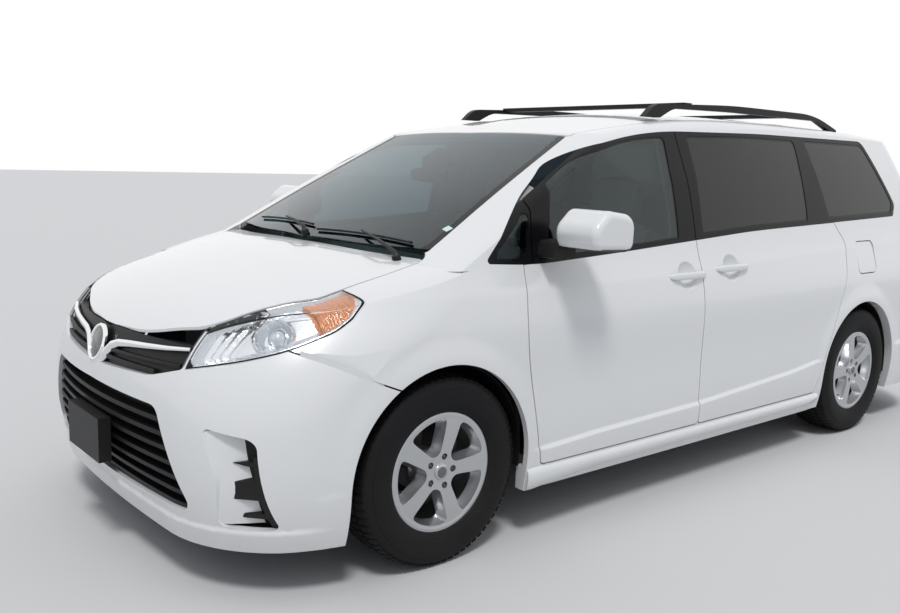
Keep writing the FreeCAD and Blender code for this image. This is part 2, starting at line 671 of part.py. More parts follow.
def make_rear():
    face = flat(BUMPER_REAR).cut(arch_face(REAR_X))
    cutter = through(face, -OUTER_Y, OUTER_Y).common(box(-2700, -1500, -1100, 1100, size("sill_bottom"), 718))
    piece("rear_bumper", solids(wall(cutter, SIDE, 0, SKIN), 50000))
    cutter = prism_x(both_sides(GATE), -2700, -1992)
    opening = prism_x(both_sides(GATE_GLASS), -2700, -1900)
    inner = Part.Face(loop(both_sides(GATE), lambda p: Vector(-2700, p.x, p.y)).makeOffset2D(-size("lip_width")))
    inner = inner.extrude(Vector(2700 - 1992 - size("lip_width"), 0, 0))
    gate = wall(cutter, CABIN, 0, size("lip")).fuse(wall(inner, CABIN, size("lip"), SKIN)).cut(opening)
    piece("liftgate", solids(gate, 50000))
    depth = size("glass_inset")
    glass = wall(opening.common(box(-2700, -2100, -800, 800, 1100, 1700)), CABIN, depth, depth + size("glass"))
    piece("liftgate_glass", solids(glass))
    cutter = through(wider(TAIL_LAMP, -FIT), TAIL_LAMP_Y + FIT, OUTER_Y)
    piece("tail_lamps", pair(solids(wall(cutter, SIDE, 0, SKIN))))


def bound(kind, name, **ties):
    """a primitive of the document whose sizes follow the sheet's expressions"""
    item = doc.addObject(kind, name)
    for field, tie in ties.items():
        item.setExpression(field, tie)
    return item


def keep(item, label):
    """takes a finished feature as a node under its label"""
    item.Label = label
    pieces.append(item)
    return item


def turned(x, y, z, roll=0.0, pitch=0.0, yaw=0.0):
    return Placement(Vector(x, y, z), Rotation(yaw, pitch, roll))


def rounded(x0, x1, y0, y1, z0, z1, radius):
    """a block with every edge rounded"""
    block = box(x0, x1, y0, y1, z0, z1)
    return block.makeFillet(radius, block.Edges)


HUB_FACE = 72.0
BEAD_DEPTH = 16.0
DISC_WALL = 24.0
DISC_BACK = 40.0
BELL = 78.0


def tyre_shape():
    """the tyre's ring about its own Y axis, with rounded shoulders and beads that seat on the rim"""
    half = size("tyre_width") / 2
    outer = size("tyre_radius")
    flange = size("rim_radius")
    bed = flange - BEAD_DEPTH + FIT
    rim = size("rim_width") / 2
    tread = half - 18
    side = [(bed, rim - 13), (flange + 1, rim - 1), (flange + 50, half), (outer - 34, half - 4), (outer - 5, tread + 6),
            (outer, tread - 24)]
    section = side + [(p[0], -p[1]) for p in reversed(side)]
    wire = loop(section, lambda p: Vector(p.x, p.y, 0))
    return Part.Face(wire).revolve(Vector(0, 0, 0), Vector(0, 1, 0), 360)


def rim_shape():
    """the alloy wheel about its own Y axis, outer side towards +Y: barrel, five spokes, boss and lug wells"""
    flange = size("rim_radius")
    half = size("rim_width") / 2
    thick = size("rim_wall")
    bed = flange - BEAD_DEPTH
    section = [(flange, half), (flange, half + 5), (flange - 9, half + 5), (bed - thick, half - 22),
               (bed - 26, 20, 30), (bed - 26, -half + 26, 10), (bed - thick, -half + 4), (bed - thick, -half - 4),
               (flange - 0.4, -half - 4), (flange - 0.4, -half + 1), (bed, -half + 12), (bed - 18, -half + 34, 10),
               (bed - 18, 12, 30), (bed, half - 12)]
    wire = loop(section, lambda p: Vector(p.x, p.y, 0))
    ring = Part.Face(wire).revolve(Vector(0, 0, 0), Vector(0, 1, 0), 360)
    face_y = HUB_FACE
    boss = Part.makeCylinder(size("hub_radius"), face_y - 20, Vector(0, 20, 0), Vector(0, 1, 0))
    front_edges = [e for e in boss.Edges if e.BoundBox.YMin > face_y - 1 and e.BoundBox.ZLength > 10]
    ring = ring.fuse(boss.makeFillet(8, front_edges))
    root, tip = size("spoke_root") / 2, size("spoke_tip") / 2
    inner_r = size("hub_radius") - 18
    outer_r = bed - 4
    outline = [(-root, inner_r), (-root * 0.86, inner_r + 60, 90), (-tip, outer_r), (tip, outer_r),
               (root * 0.86, inner_r + 60, 90), (root, inner_r)]
    band = [(inner_r - 2, face_y - 34), (outer_r - 14, half - 52), (outer_r + 3, half - 40), (outer_r + 3, half - 10),
            (outer_r - 20, half - 14, 20), (inner_r + 60, face_y - 4, 120), (inner_r - 2, face_y - 6)]
    dish = Part.Face(loop(band, lambda p: Vector(p.x, p.y, 0))).revolve(Vector(0, 0, 0), Vector(0, 1, 0), 360)
    count = int(size("spoke_count"))
    for k in range(count):
        blade = Part.Face(loop(outline, lambda p: Vector(p.x, 0, p.y))).extrude(Vector(0, half + 20, 0))
        blade = blade.common(dish)
        blade.rotate(Vector(0, 0, 0), Vector(0, 1, 0), 360 / count * k + SPOKE_TURN)
        ring = ring.fuse(blade)
    for k in range(count):
        turn = math.radians(360 / count * (k + 0.5) + SPOKE_TURN)
        spot = Vector(size("lug_circle") * math.sin(turn), face_y - 16, size("lug_circle") * math.cos(turn))
        ring = ring.cut(Part.makeCylinder(size("lug_hole"), 60, spot, Vector(0, 1, 0)))
    return ring.removeSplitter()


SPOKE_TURN = 18.0


def hub_shape():
    """the brake disc and its bell, that the wheel seats on, about Y"""
    disc = Part.makeCylinder(size("disc_radius"), DISC_WALL, Vector(0, -DISC_BACK, 0), Vector(0, 1, 0))
    bell = Part.makeCylinder(BELL, DISC_BACK + 20, Vector(0, -DISC_BACK, 0), Vector(0, 1, 0))
    return disc.fuse(bell)


def make_wheels():
    tyre = tyre_shape()
    wheel = rim_shape().fuse(hub_shape())
    for end, x in (("front", FRONT_X), ("rear", REAR_X)):
        for side, sign in (("left", 1), ("right", -1)):
            for name, shape in (("tyre", tyre), ("wheel", wheel)):
                own = shape.copy()
                if sign < 0:
                    own = across(own)
                own.translate(Vector(x, sign * WHEEL_Y, WHEEL_Z))
                piece("%s_%s_%s" % (name, end, side), own)


def make_running_gear():
    """knuckles that steer, calipers over the discs, the lower arms, the rear beam and its links"""
    post = size("steer_y") - WHEEL_Y
    arm_top = 221.0
    knuckle = barrel(0, 0, 44, -112, -DISC_BACK - FIT)
    knuckle = knuckle.fuse(rounded(-26, 26, post - 30, post + 10, -120, 150, 10))
    knuckle = knuckle.fuse(Part.makeCylinder(18, 40, Vector(0, post, arm_top + FIT - WHEEL_Z)))
    caliper = rounded(-160, -92, -66, 0, -66, 66, 10)
    caliper = caliper.cut(Part.makeCylinder(size("disc_radius") + 3, DISC_WALL + 4, Vector(0, -DISC_BACK - 2, 0),
                                            Vector(0, 1, 0)))
    knuckle = knuckle.fuse(caliper).fuse(box(-110, -10, -66, -50, -24, 24))
    knuckle.translate(Vector(FRONT_X, WHEEL_Y, WHEEL_Z))
    piece("knuckle_left", solids(knuckle))
    piece("knuckle_right", solids(across(knuckle)))
    tip = size("steer_y")
    arm = prism_z([(FRONT_X - 24, tip + 8, 20), (FRONT_X + 24, tip + 8, 20), (FRONT_X + 30, 600, 200),
                   (FRONT_X + 90, 330, 20), (FRONT_X + 40, 330, 10), (FRONT_X, 520, 60), (FRONT_X - 150, 330, 20),
                   (FRONT_X - 230, 330, 20), (FRONT_X - 30, 620, 200)], arm_top - 30, arm_top)
    frame = box(FRONT_X - 300, FRONT_X + 330, -400, 400, arm_top - 46, arm_top + 14)
    frame = frame.cut(box(FRONT_X - 180, FRONT_X + 200, -200, 200, arm_top - 50, arm_top + 20))
    piece("front_subframe", frame.fuse(arm).fuse(across(arm)).removeSplitter())
    floor_under = size("rear_floor") - size("rear_floor_wall")
    link_top = WHEEL_Z + 20
    beam = barrel(REAR_X, WHEEL_Z - 10, 38, -620, 620)
    link = rounded(REAR_X - 60, size("step_x") - 17 - FIT, 560, 630, WHEEL_Z - 60, link_top, 12)
    stub = barrel(REAR_X, WHEEL_Z, 42, 580, WHEEL_Y - DISC_BACK - FIT)
    spring = Part.makeCylinder(32, floor_under - FIT - link_top + 4, Vector(REAR_X + 90, 595, link_top - 4))
    side = link.fuse(stub).fuse(spring)
    piece("rear_axle", beam.fuse(side).fuse(across(side)).removeSplitter())


def make_floor():
    """cabin floor with its step over the rear axle, the firewall and the four wheelhouses"""
    top, bottom = size("floor_top"), size("floor_top") - size("floor_wall")
    high, under = size("rear_floor"), size("rear_floor") - size("rear_floor_wall")
    step = size("step_x")
    rear_gap = size("rear_house") - 1
    plate = box(step - 17, 1160, -1100, 1100, bottom, top).fuse(box(step - 17, step + 20, -1100, 1100, bottom, high))
    plate = plate.fuse(box(-2480, step, -1100, 1100, under, high)).common(flanks(SKIN + FIT))
    door_y = size("door_wall") + 12
    beside = box(REAR_X, step + 21, -1100, 1100, top + FIT, high + 1)
    plate = plate.cut(beside.cut(flanks(door_y)))
    for y0 in (rear_gap, -OUTER_Y):
        plate = plate.cut(box(REAR_X - ARCH, REAR_X + ARCH, y0, y0 + OUTER_Y - rear_gap, 0, high + 1))
    fire = within(box(1130, 1160, -1100, 1100, top, 1010), NOSE, size("door_wall") + 10)
    piece("floor_pan", solids(plate.fuse(fire)))
    thick = size("liner_wall")
    outer = 945.0
    sheets = []
    for x, inner in ((FRONT_X, size("front_house")), (REAR_X, size("rear_house"))):
        hollow = barrel(x, WHEEL_Z, ARCH - 1 - thick, inner + thick, outer + 1)
        tube = barrel(x, WHEEL_Z, ARCH - 1, inner, outer).cut(hollow)
        tube = tube.common(box(x - ARCH, x + ARCH, inner - 1, outer + 1, 300, 1000))
        sheets.append(tube.cut(barrel(REAR_X, WHEEL_Z, 50, inner - 10, inner + 20)))
    piece("wheel_liners", Part.Compound(sheets + [across(t) for t in sheets]))


ENGINE_Y = -360.0
ENGINE_Z = 260.0


def make_underbody():
    """engine, front rails with the radiator, fuel tank and exhaust"""
    engine = bound("Part::Box", "engine", Length="sizes.engine_length", Width="sizes.engine_width",
                   Height="sizes.engine_height")
    engine.Placement = turned(FRONT_X - 170, ENGINE_Y, ENGINE_Z)
    keep(engine, "engine_block")
    frame_top = 235.0
    rail = box(1160 + FIT, 2330, 430, 500, 330, 430)
    for x in (FRONT_X - 290, FRONT_X + 250):
        rail = rail.fuse(box(x, x + 70, 372, 500, frame_top + FIT, 330 + 40))
    rails = rail.fuse(across(rail)).fuse(box(2270, 2330, -500, 500, 330, 430))
    engine_left = ENGINE_Y + size("engine_width")
    rails = rails.fuse(box(FRONT_X - 30, FRONT_X + 60, engine_left + FIT, 440, 350, 420))
    rails = rails.fuse(box(FRONT_X - 30, FRONT_X + 60, -440, ENGINE_Y - FIT, 350, 420))
    piece("front_rails", solids(rails.removeSplitter()))
    piece("radiator", box(2284, 2324, -400, 400, 430 + FIT, 760))
    tank = bound("Part::Box", "tank", Length="sizes.tank_length", Width="sizes.tank_width", Height="sizes.tank_height")
    tank.Placement = turned(-750, -60, size("floor_top") - size("floor_wall") - FIT - size("tank_height"))
    soft = doc.addObject("Part::Fillet", "tank_rounded")
    soft.Base = tank
    doc.recompute()
    soft.Edges = [(k + 1, 30, 30) for k in range(12)]
    keep(soft, "fuel_tank")
    pipe_y, pipe_z = -420.0, 170.0
    pipe = Part.makeCylinder(28, 2100, Vector(1000, pipe_y, pipe_z), Vector(-1, 0, 0))
    can = rounded(-2280, -1900, -560, -240, pipe_z - 32, pipe_z + 56, 34)
    back = Part.makeCylinder(28, 830, Vector(-1099, pipe_y, pipe_z), Vector(-1, 0, 0))
    tip = Part.makeCylinder(29, 210, Vector(-2270, pipe_y, pipe_z), Vector(-1, 0, 0))
    exhaust = pipe.fuse(back).fuse(can).fuse(tip)
    exhaust = exhaust.fuse(box(-2110, -2070, pipe_y - 20, pipe_y + 20, pipe_z + 40, size("rear_floor") - size("rear_floor_wall") - FIT))
    for x in (600, -600):
        exhaust = exhaust.fuse(box(x, x + 40, pipe_y - 15, pipe_y + 15, pipe_z, size("floor_top") - size("floor_wall") - FIT))
    piece("exhaust", exhaust.removeSplitter())


def make_cabin():
    """the pale lining inside the pillars and roof, dashboard, steering wheel and seats"""
    inner = SKIN + size("trim_wall")
    lining = cabin_room(SKIN + 0.3).cut(cabin_room(inner))
    face = wider(FRONT_DOOR, 10).fuse(wider(FRONT_GLASS, 8)).fuse(wider(SLIDE_DOOR, 10))
    for glass in (VENT_GLASS, SLIDE_GLASS, QUARTER_GLASS):
        face = face.fuse(wider(glass, 8))
    face = face.fuse(arch_face(REAR_X))
    face = face.fuse(wider(FENDER, 2))
    lining = lining.cut(through(face, INNER_Y, OUTER_Y)).cut(through(face, -OUTER_Y, -INNER_Y))
    lining = lining.cut(prism_z(both_ways([(1900, 0), (1900, 1200), (1250, 1200), (1250, 700), (676, 600), (690, 0)]), 900, 1850))
    lining = lining.cut(prism_x(both_sides([(0, 1660), (600, 1650), (720, 1200), (740, 720), (0, 720)]), -2700, -1960))
    lining = lining.cut(box(-2700, size("step_x") + 20 + FIT, -1100, 1100, 0, size("rear_floor") + FIT))
    piece("cabin_lining", solids(lining, 100000))
    dash = Part.Face(loop([(1130 - FIT, 560, 30), (1130 - FIT, 1010, 40), (1010, 1035, 60), (800, 990, 60), (770, 840, 60), (900, 560, 40)],
                          lambda p: Vector(p.x, -1000, p.y))).extrude(Vector(0, 2000, 0))
    piece("dashboard", solids(within(dash, CABIN, 110)))
    ring = bound("Part::Torus", "ring", Radius1="sizes.wheel_rim", Radius2="sizes.grip")
    ring.Placement = turned(700, 400, 950, 0, -68, 0)
    boss = bound("Part::Cylinder", "boss", Radius="60", Height="50")
    boss.Placement = turned(700, 400, 950, 0, -68, 0).multiply(turned(0, 0, -30))
    arm = bound("Part::Box", "arm", Length="2*sizes.wheel_rim", Width="50", Height="16")
    arm.Placement = turned(700, 400, 950, 0, -68, 0).multiply(turned(-size("wheel_rim"), -25, -8))
    cross_arm = bound("Part::Box", "cross_arm", Length="44", Width="2*sizes.wheel_rim", Height="16")
    cross_arm.Placement = turned(700, 400, 950, 0, -68, 0).multiply(turned(-22, -size("wheel_rim"), -8))
    shaft = bound("Part::Cylinder", "shaft", Radius="22", Height="76")
    shaft.Placement = turned(700, 400, 950, 0, 112, 0)
    wheel = doc.addObject("Part::MultiFuse", "steering")
    wheel.Shapes = [ring, boss, arm, cross_arm, shaft]
    keep(wheel, "steering_wheel")
    width = size("seat_width")
    low, high = size("floor_top") + FIT, size("rear_floor") + FIT
    seats = []
    for x, y, w, floor, lift in ((250, 400, width, low, 190), (250, -400, width, low, 190), (-700, 420, width, low, 190),
                                 (-700, -420, width, low, 190), (-1580, 0, 1080, high, 90)):
        cushion = [(-30, 0, 40), (470, 20, 50), (470, 140, 50), (380, 150, 60), (-30, 120, 40)]
        back = [(0, 0, 40), (10, 300, 900), (0, 620, 40), (-110, 620, 40), (-130, 0, 40)]
        head = [(0, 640, 25), (0, 830, 40), (-80, 830, 40), (-95, 640, 25)]
        seat = prism_y(cushion, -w / 2, w / 2)
        seat = seat.fuse(box(20, 420, -w / 2 + 60, w / 2 - 60, -lift, 10))
        upper = prism_y(back, -w / 2, w / 2)
        for share in ((-0.3, 0.3) if w > 900 else (0,)):
            upper = upper.fuse(prism_y(head, share * w - 130, share * w + 130))
            for post_y in (-45, 45):
                upper = upper.fuse(box(-56, -44, share * w + post_y - 6, share * w + post_y + 6, 600, 660))
        upper.rotate(Vector(0, 0, 0), Vector(0, 1, 0), -14)
        upper.translate(Vector(30, 0, 60))
        seat = seat.fuse(upper)
        seat.translate(Vector(x, y, floor + lift))
        seats.append(seat)
    piece("front_seats", Part.Compound(seats[:2]))
    piece("rear_seats", Part.Compound(seats[2:]))


@once
def cabin_room(inset):
    """the cabin above the floor and behind the firewall"""
    return within(box(-2700, 1130 - FIT, -1100, 1100, size("floor_top") + FIT, 1850), CABIN, inset)


NOSE_END = 2547.5


def make_outside():
    """mirrors, rails, cowl, wipers and the plate's bracket"""
    cap = Part.Face(loop([(890, 1150, 40), (885, 1290, 60), (1040, 1310, 50), (1120, 1240, 60), (1100, 1160, 40)],
                         lambda p: Vector(p.x, 995, p.y))).extrude(Vector(0, 215, 0))
    cap = cap.makeFillet(28, [e for e in cap.Edges if e.BoundBox.YLength < 1])
    foot = prism_y([(1000, 1120, 8), (1120, 1115, 8), (1090, 1180, 20), (1000, 1185, 20)], 905, 1010)
    mirror_body = cap.fuse(foot.cut(cabin(0))).removeSplitter()
    twins("mirror", solids(mirror_body, 10000))
    rail_w = size("rail_section") / 2
    rails = []
    section_y = 640.0
    top = 1756.0 + size("rail_height")
    rail = Part.Face(loop([(190, 1700), (120, 1762, 120), (-500, top - 1, 6000), (-1300, top - 4, 3000), (-1600, 1700, 120), (-1500, 1700), (-1330, top - 36, 60), (-500, top - 34, 6000), (-20, 1748, 200), (80, 1700)],
                          lambda p: Vector(p.x, section_y - rail_w, p.y))).extrude(Vector(0, 2 * rail_w, 0))
    rail = solids(rail.cut(roof_lid(-0.3)), 10000)
    for x in (-150, -1150):
        bar = box(x - 32, x + 32, -section_y, section_y, top - 28, top - 8)
        rails.append(bar)
    whole = rail.fuse(across(rail))
    for bar in rails:
        whole = whole.fuse(bar)
    piece("roof_rails", solids(whole.removeSplitter(), 10000))
    tray = through(flat([(1160.3, 950), (1622, 1078), (1622, 1098), (1160.3, 990)]), -1000, 1000)
    tray = tray.common(box(1100, 1700, -780, 780, 900, 1200).fuse(box(1245, 1700, -1000, 1000, 900, 1200)))
    piece("cowl_panel", solids(within(tray, (flanks, hood_lid, screen_lid), 30)))
    holder = bound("Part::Box", "holder", Length="sizes.plate_depth", Width="sizes.plate_width",
                   Height="sizes.plate_height")
    holder.Placement = turned(NOSE_END - size("plate_depth"), -size("plate_width") / 2, 352)
    keep(holder, "plate_bracket")


make_doors()
make_windows()
make_body_sides()
make_roof()
make_front()
make_rear()
make_wheels()
make_running_gear()
make_floor()
make_underbody()
make_cabin()
make_outside()
doc.recompute()

for item in doc.Objects:
    faults = [state for state in item.State if state in ("Invalid", "Error")]
    shape = getattr(item, "Shape", None)
    if faults or (shape is not None and (shape.isNull() or not shape.isValid() or not shape.Solids)):
        raise RuntimeError("unsound: %s %s" % (item.Label, faults))
os.makedirs("parts", exist_ok=True)
for item in pieces:
    item.Shape.exportStep("parts/%s.step" % item.Label)
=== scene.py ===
import math

import bmesh
import bpy
import numpy as np
from mathutils import Euler, Matrix, Vector
from mathutils.bvhtree import BVHTree
from mathutils.kdtree import KDTree


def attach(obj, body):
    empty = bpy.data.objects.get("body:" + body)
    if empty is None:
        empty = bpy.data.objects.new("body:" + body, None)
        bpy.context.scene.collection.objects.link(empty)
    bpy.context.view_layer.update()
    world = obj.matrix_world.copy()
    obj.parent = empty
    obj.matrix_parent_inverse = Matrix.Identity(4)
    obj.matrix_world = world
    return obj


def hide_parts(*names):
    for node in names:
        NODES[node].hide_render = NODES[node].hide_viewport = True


bl_info = {
    "name": "Minivan looks",
    "version": (1, 0, 0),
    "blender": (4, 5, 0),
    "location": "View3D > Sidebar > Minivan",
    "description": "Builds the visible surfaces of a minivan round its packed CAD part",
    "category": "Object",
}

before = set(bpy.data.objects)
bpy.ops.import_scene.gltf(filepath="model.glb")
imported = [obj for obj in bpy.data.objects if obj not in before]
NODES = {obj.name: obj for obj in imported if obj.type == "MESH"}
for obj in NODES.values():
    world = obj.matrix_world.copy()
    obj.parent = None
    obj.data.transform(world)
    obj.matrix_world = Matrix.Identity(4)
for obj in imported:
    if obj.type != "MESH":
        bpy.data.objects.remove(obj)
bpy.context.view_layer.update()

# The body's lines in the side view, in metres
FRONT_AXLE = 1.5925
REAR_AXLE = -1.4375
AXLE_Z = 0.357
ARCH = 0.403
BELT = [(-1.98, 1.224), (-1.055, 1.196), (-0.377, 1.176), (0.195, 1.144), (0.589, 1.112), (1.137, 1.082),
        (1.385, 1.098), (1.888, 1.06)]
SHOULDER = [(-2.4, 1.095), (-1.4, 1.062), (-0.17, 1.024), (0.17, 1.006), (1.2, 0.988), (1.888, 0.99)]
LEDGE = [(-0.95, 0.462), (-0.71, 0.437), (0.1, 0.390), (0.8, 0.373), (1.08, 0.358)]
BUMPER_SEAM = [(1.796, 0.695), (1.905, 0.740), (2.075, 0.818), (2.215, 0.872)]
DISHES = [(0.202, 0.996), (-0.146, 1.013)]
DISH = 0.061
DISH_OVAL = 1.12

# How the sides' forms fade, in metres
CREASE_ROUNDING = 0.010
CREASE_FADE = 0.055
HOLLOW_Z = 0.66
HOLLOW_SPREAD = 0.15
LEDGE_RISE = 0.022
FLARE_REACH = 0.105
ARCH_FADE = 0.14
BELT_FADE = 0.07
TAIL_END, TAIL_FADE = -2.5, 0.35
NOSE_END, NOSE_FADE = 2.15, 0.2
CHIN_TOP, CHIN_FADE = 0.262, 0.018
CHIN_BACK, CHIN_RUN = 2.02, 0.2
NOSE_CENTRE = 1.75

# Where the painted panels are cut, so that their forms stay crisp
PANEL_GRID = 0.045
PANE_GRID = 0.05
DISH_GRID = 0.008
LEDGE_CUTS = (0, 0.004, 0.008, 0.012, 0.016, 0.022)
SHOULDER_CUTS = (-0.06, -0.035, -0.02, -0.01, -0.004, 0, 0.004, 0.01, 0.02, 0.035, 0.06)
ARCH_CUTS = (0.012, 0.03, 0.05, 0.075, 0.105)


# Meshes as arrays of triangles: each corner holds a place and the normal that it is lit with
def triangles(*names):
    """the triangles of CAD nodes as an array of (triangle, corner, place and normal)"""
    found = []
    for name in names:
        mesh = NODES[name].data
        place = np.empty(len(mesh.vertices) * 3)
        mesh.vertices.foreach_get("co", place)
        lit = np.empty(len(mesh.loops) * 3)
        mesh.corner_normals.foreach_get("vector", lit)
        vertex = np.empty(len(mesh.loops), int)
        mesh.loops.foreach_get("vertex_index", vertex)
        found.append(np.hstack([place.reshape(-1, 3)[vertex], lit.reshape(-1, 3)]).reshape(-1, 3, 6))
    return np.concatenate(found)


def parted(tri, level):
    """the same surface with its triangles cut where a level of its places is nought"""
    side = level(tri[:, :, :3])
    side[np.abs(side) < 2e-5] = 0
    sign = np.sign(side)
    crossed = (sign.max(1) > 0) & (sign.min(1) < 0)
    on_line = crossed & (sign == 0).any(1)
    apart = crossed & ~on_line
    result = [tri[~crossed]]
    if apart.any():
        t, s, g = tri[apart], side[apart], sign[apart]
        lone = np.argmax(g == -g.sum(1)[:, None], 1)
        turn = (lone[:, None] + np.arange(3)) % 3
        rows = np.arange(len(t))[:, None]
        t, s = t[rows, turn], s[rows, turn]
        k1 = (s[:, 0] / (s[:, 0] - s[:, 1]))[:, None]
        k2 = (s[:, 0] / (s[:, 0] - s[:, 2]))[:, None]
        a = t[:, 0] + k1 * (t[:, 1] - t[:, 0])
        b = t[:, 0] + k2 * (t[:, 2] - t[:, 0])
        result += [np.stack(c, 1) for c in ((t[:, 0], a, b), (a, t[:, 1], t[:, 2]), (a, t[:, 2], b))]
    if on_line.any():
        t, s, g = tri[on_line], side[on_line], sign[on_line]
        turn = (np.argmax(g == 0, 1)[:, None] + np.arange(3)) % 3
        rows = np.arange(len(t))[:, None]
        t, s = t[rows, turn], s[rows, turn]
        k = (s[:, 1] / (s[:, 1] - s[:, 2]))[:, None]
        a = t[:, 1] + k * (t[:, 2] - t[:, 1])
        result += [np.stack(c, 1) for c in ((t[:, 0], t[:, 1], a), (t[:, 0], a, t[:, 2]))]
    return np.concatenate(result)


def gridded(tri, axis, start, stop, step, inside=None):
    """cuts a surface by planes across an axis, everywhere or only where a test of its middles holds"""
    for at in np.arange(start, stop, step):
        if inside is None:
            tri = parted(tri, lambda p: p[:, :, axis] - at)
        else:
            near = inside(tri[:, :, :3].mean(1))
            tri = np.concatenate([tri[~near], parted(tri[near], lambda p: p[:, :, axis] - at)])
    return tri


def formed(tri, form, eps=4e-4):
    """moves a surface by a form's depth and direction, and turns the normals that it is lit with to suit"""
    p, n = tri[:, :, :3], tri[:, :, 3:]
    depth, way = form(p)
    slope = np.stack([(form(p + e)[0] - form(p - e)[0]) / (2 * eps) for e in np.eye(3) * eps], -1)
    slope = slope - (slope * n).sum(-1, keepdims=True) * n
    lit = n - (way * n).sum(-1, keepdims=True) * slope
    lit /= np.linalg.norm(lit, axis=-1, keepdims=True) + 1e-12
    return np.concatenate([p + depth[..., None] * way, lit], -1)


def made(name, tri, looks, body, which=None):
    """a smooth-lit mesh object from triangles, riding on a CAD body; which gives each triangle its look"""
    keys = np.round(tri[:, :, :3].reshape(-1, 3) * 1e5).astype(np.int64)
    unique, first, index = np.unique(keys, axis=0, return_index=True, return_inverse=True)
    faces = index.reshape(-1, 3)
    whole = (faces[:, 0] != faces[:, 1]) & (faces[:, 1] != faces[:, 2]) & (faces[:, 0] != faces[:, 2])
    faces = faces[whole]
    mesh = bpy.data.meshes.new(name)
    mesh.from_pydata(tri[:, :, :3].reshape(-1, 3)[first].tolist(), [], faces.tolist())
    for look in looks:
        mesh.materials.append(look)
    if which is not None:
        mesh.polygons.foreach_set("material_index", np.asarray(which)[whole].astype(np.int32))
    mesh.polygons.foreach_set("use_smooth", np.ones(len(mesh.polygons), bool))
    mesh.normals_split_custom_set(tri[whole][:, :, 3:].reshape(-1, 3).tolist())
    item = bpy.data.objects.new(name, mesh)
    bpy.context.scene.collection.objects.link(item)
    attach(item, body)
    return item


# Materials
def node(tree, kind, **settings):
    """a new node of a tree with its settings"""
    item = tree.nodes.new(kind)
    for key, value in settings.items():
        setattr(item, key, value)
    return item


def dust_group():
    """a mask of road dust: heavier low down and in patches"""
    if "road_dust" in bpy.data.node_groups:
        return bpy.data.node_groups["road_dust"]
    tree = bpy.data.node_groups.new("road_dust", "ShaderNodeTree")
    for name, value in (("Amount", 0.3), ("Height", 0.7)):
        socket = tree.interface.new_socket(name, in_out="INPUT", socket_type="NodeSocketFloat")
        socket.default_value = value
    tree.interface.new_socket("Mask", in_out="OUTPUT", socket_type="NodeSocketFloat")
    source, sink = node(tree, "NodeGroupInput"), node(tree, "NodeGroupOutput")
    place = node(tree, "ShaderNodeTexCoord")
    split = node(tree, "ShaderNodeSeparateXYZ")
    fade = node(tree, "ShaderNodeMapRange", interpolation_type="SMOOTHSTEP")
    fade.inputs["To Min"].default_value = 1.0
    fade.inputs["To Max"].default_value = 0.0
    patches = node(tree, "ShaderNodeTexNoise")
    patches.inputs["Scale"].default_value = 9.0
    patches.inputs["Detail"].default_value = 6.0
    both = node(tree, "ShaderNodeMath", operation="MULTIPLY")
    scaled = node(tree, "ShaderNodeMath", operation="MULTIPLY")
    link = tree.links.new
    link(place.outputs["Object"], split.inputs[0])
    link(place.outputs["Object"], patches.inputs["Vector"])
    link(split.outputs["Z"], fade.inputs["Value"])
    link(source.outputs["Height"], fade.inputs["From Max"])
    link(fade.outputs["Result"], both.inputs[0])
    link(patches.outputs["Fac"], both.inputs[1])
    link(both.outputs[0], scaled.inputs[0])
    link(source.outputs["Amount"], scaled.inputs[1])
    link(scaled.outputs[0], sink.inputs["Mask"])
    return tree


def grain_group():
    """a height of fine grain"""
    if "fine_grain" in bpy.data.node_groups:
        return bpy.data.node_groups["fine_grain"]
    tree = bpy.data.node_groups.new("fine_grain", "ShaderNodeTree")
    socket = tree.interface.new_socket("Scale", in_out="INPUT", socket_type="NodeSocketFloat")
    socket.default_value = 400.0
    tree.interface.new_socket("Height", in_out="OUTPUT", socket_type="NodeSocketFloat")
    source, sink = node(tree, "NodeGroupInput"), node(tree, "NodeGroupOutput")
    place = node(tree, "ShaderNodeTexCoord")
    noise = node(tree, "ShaderNodeTexNoise")
    noise.inputs["Detail"].default_value = 3.0
    tree.links.new(place.outputs["Object"], noise.inputs["Vector"])
    tree.links.new(source.outputs["Scale"], noise.inputs["Scale"])
    tree.links.new(noise.outputs["Fac"], sink.inputs["Height"])
    return tree


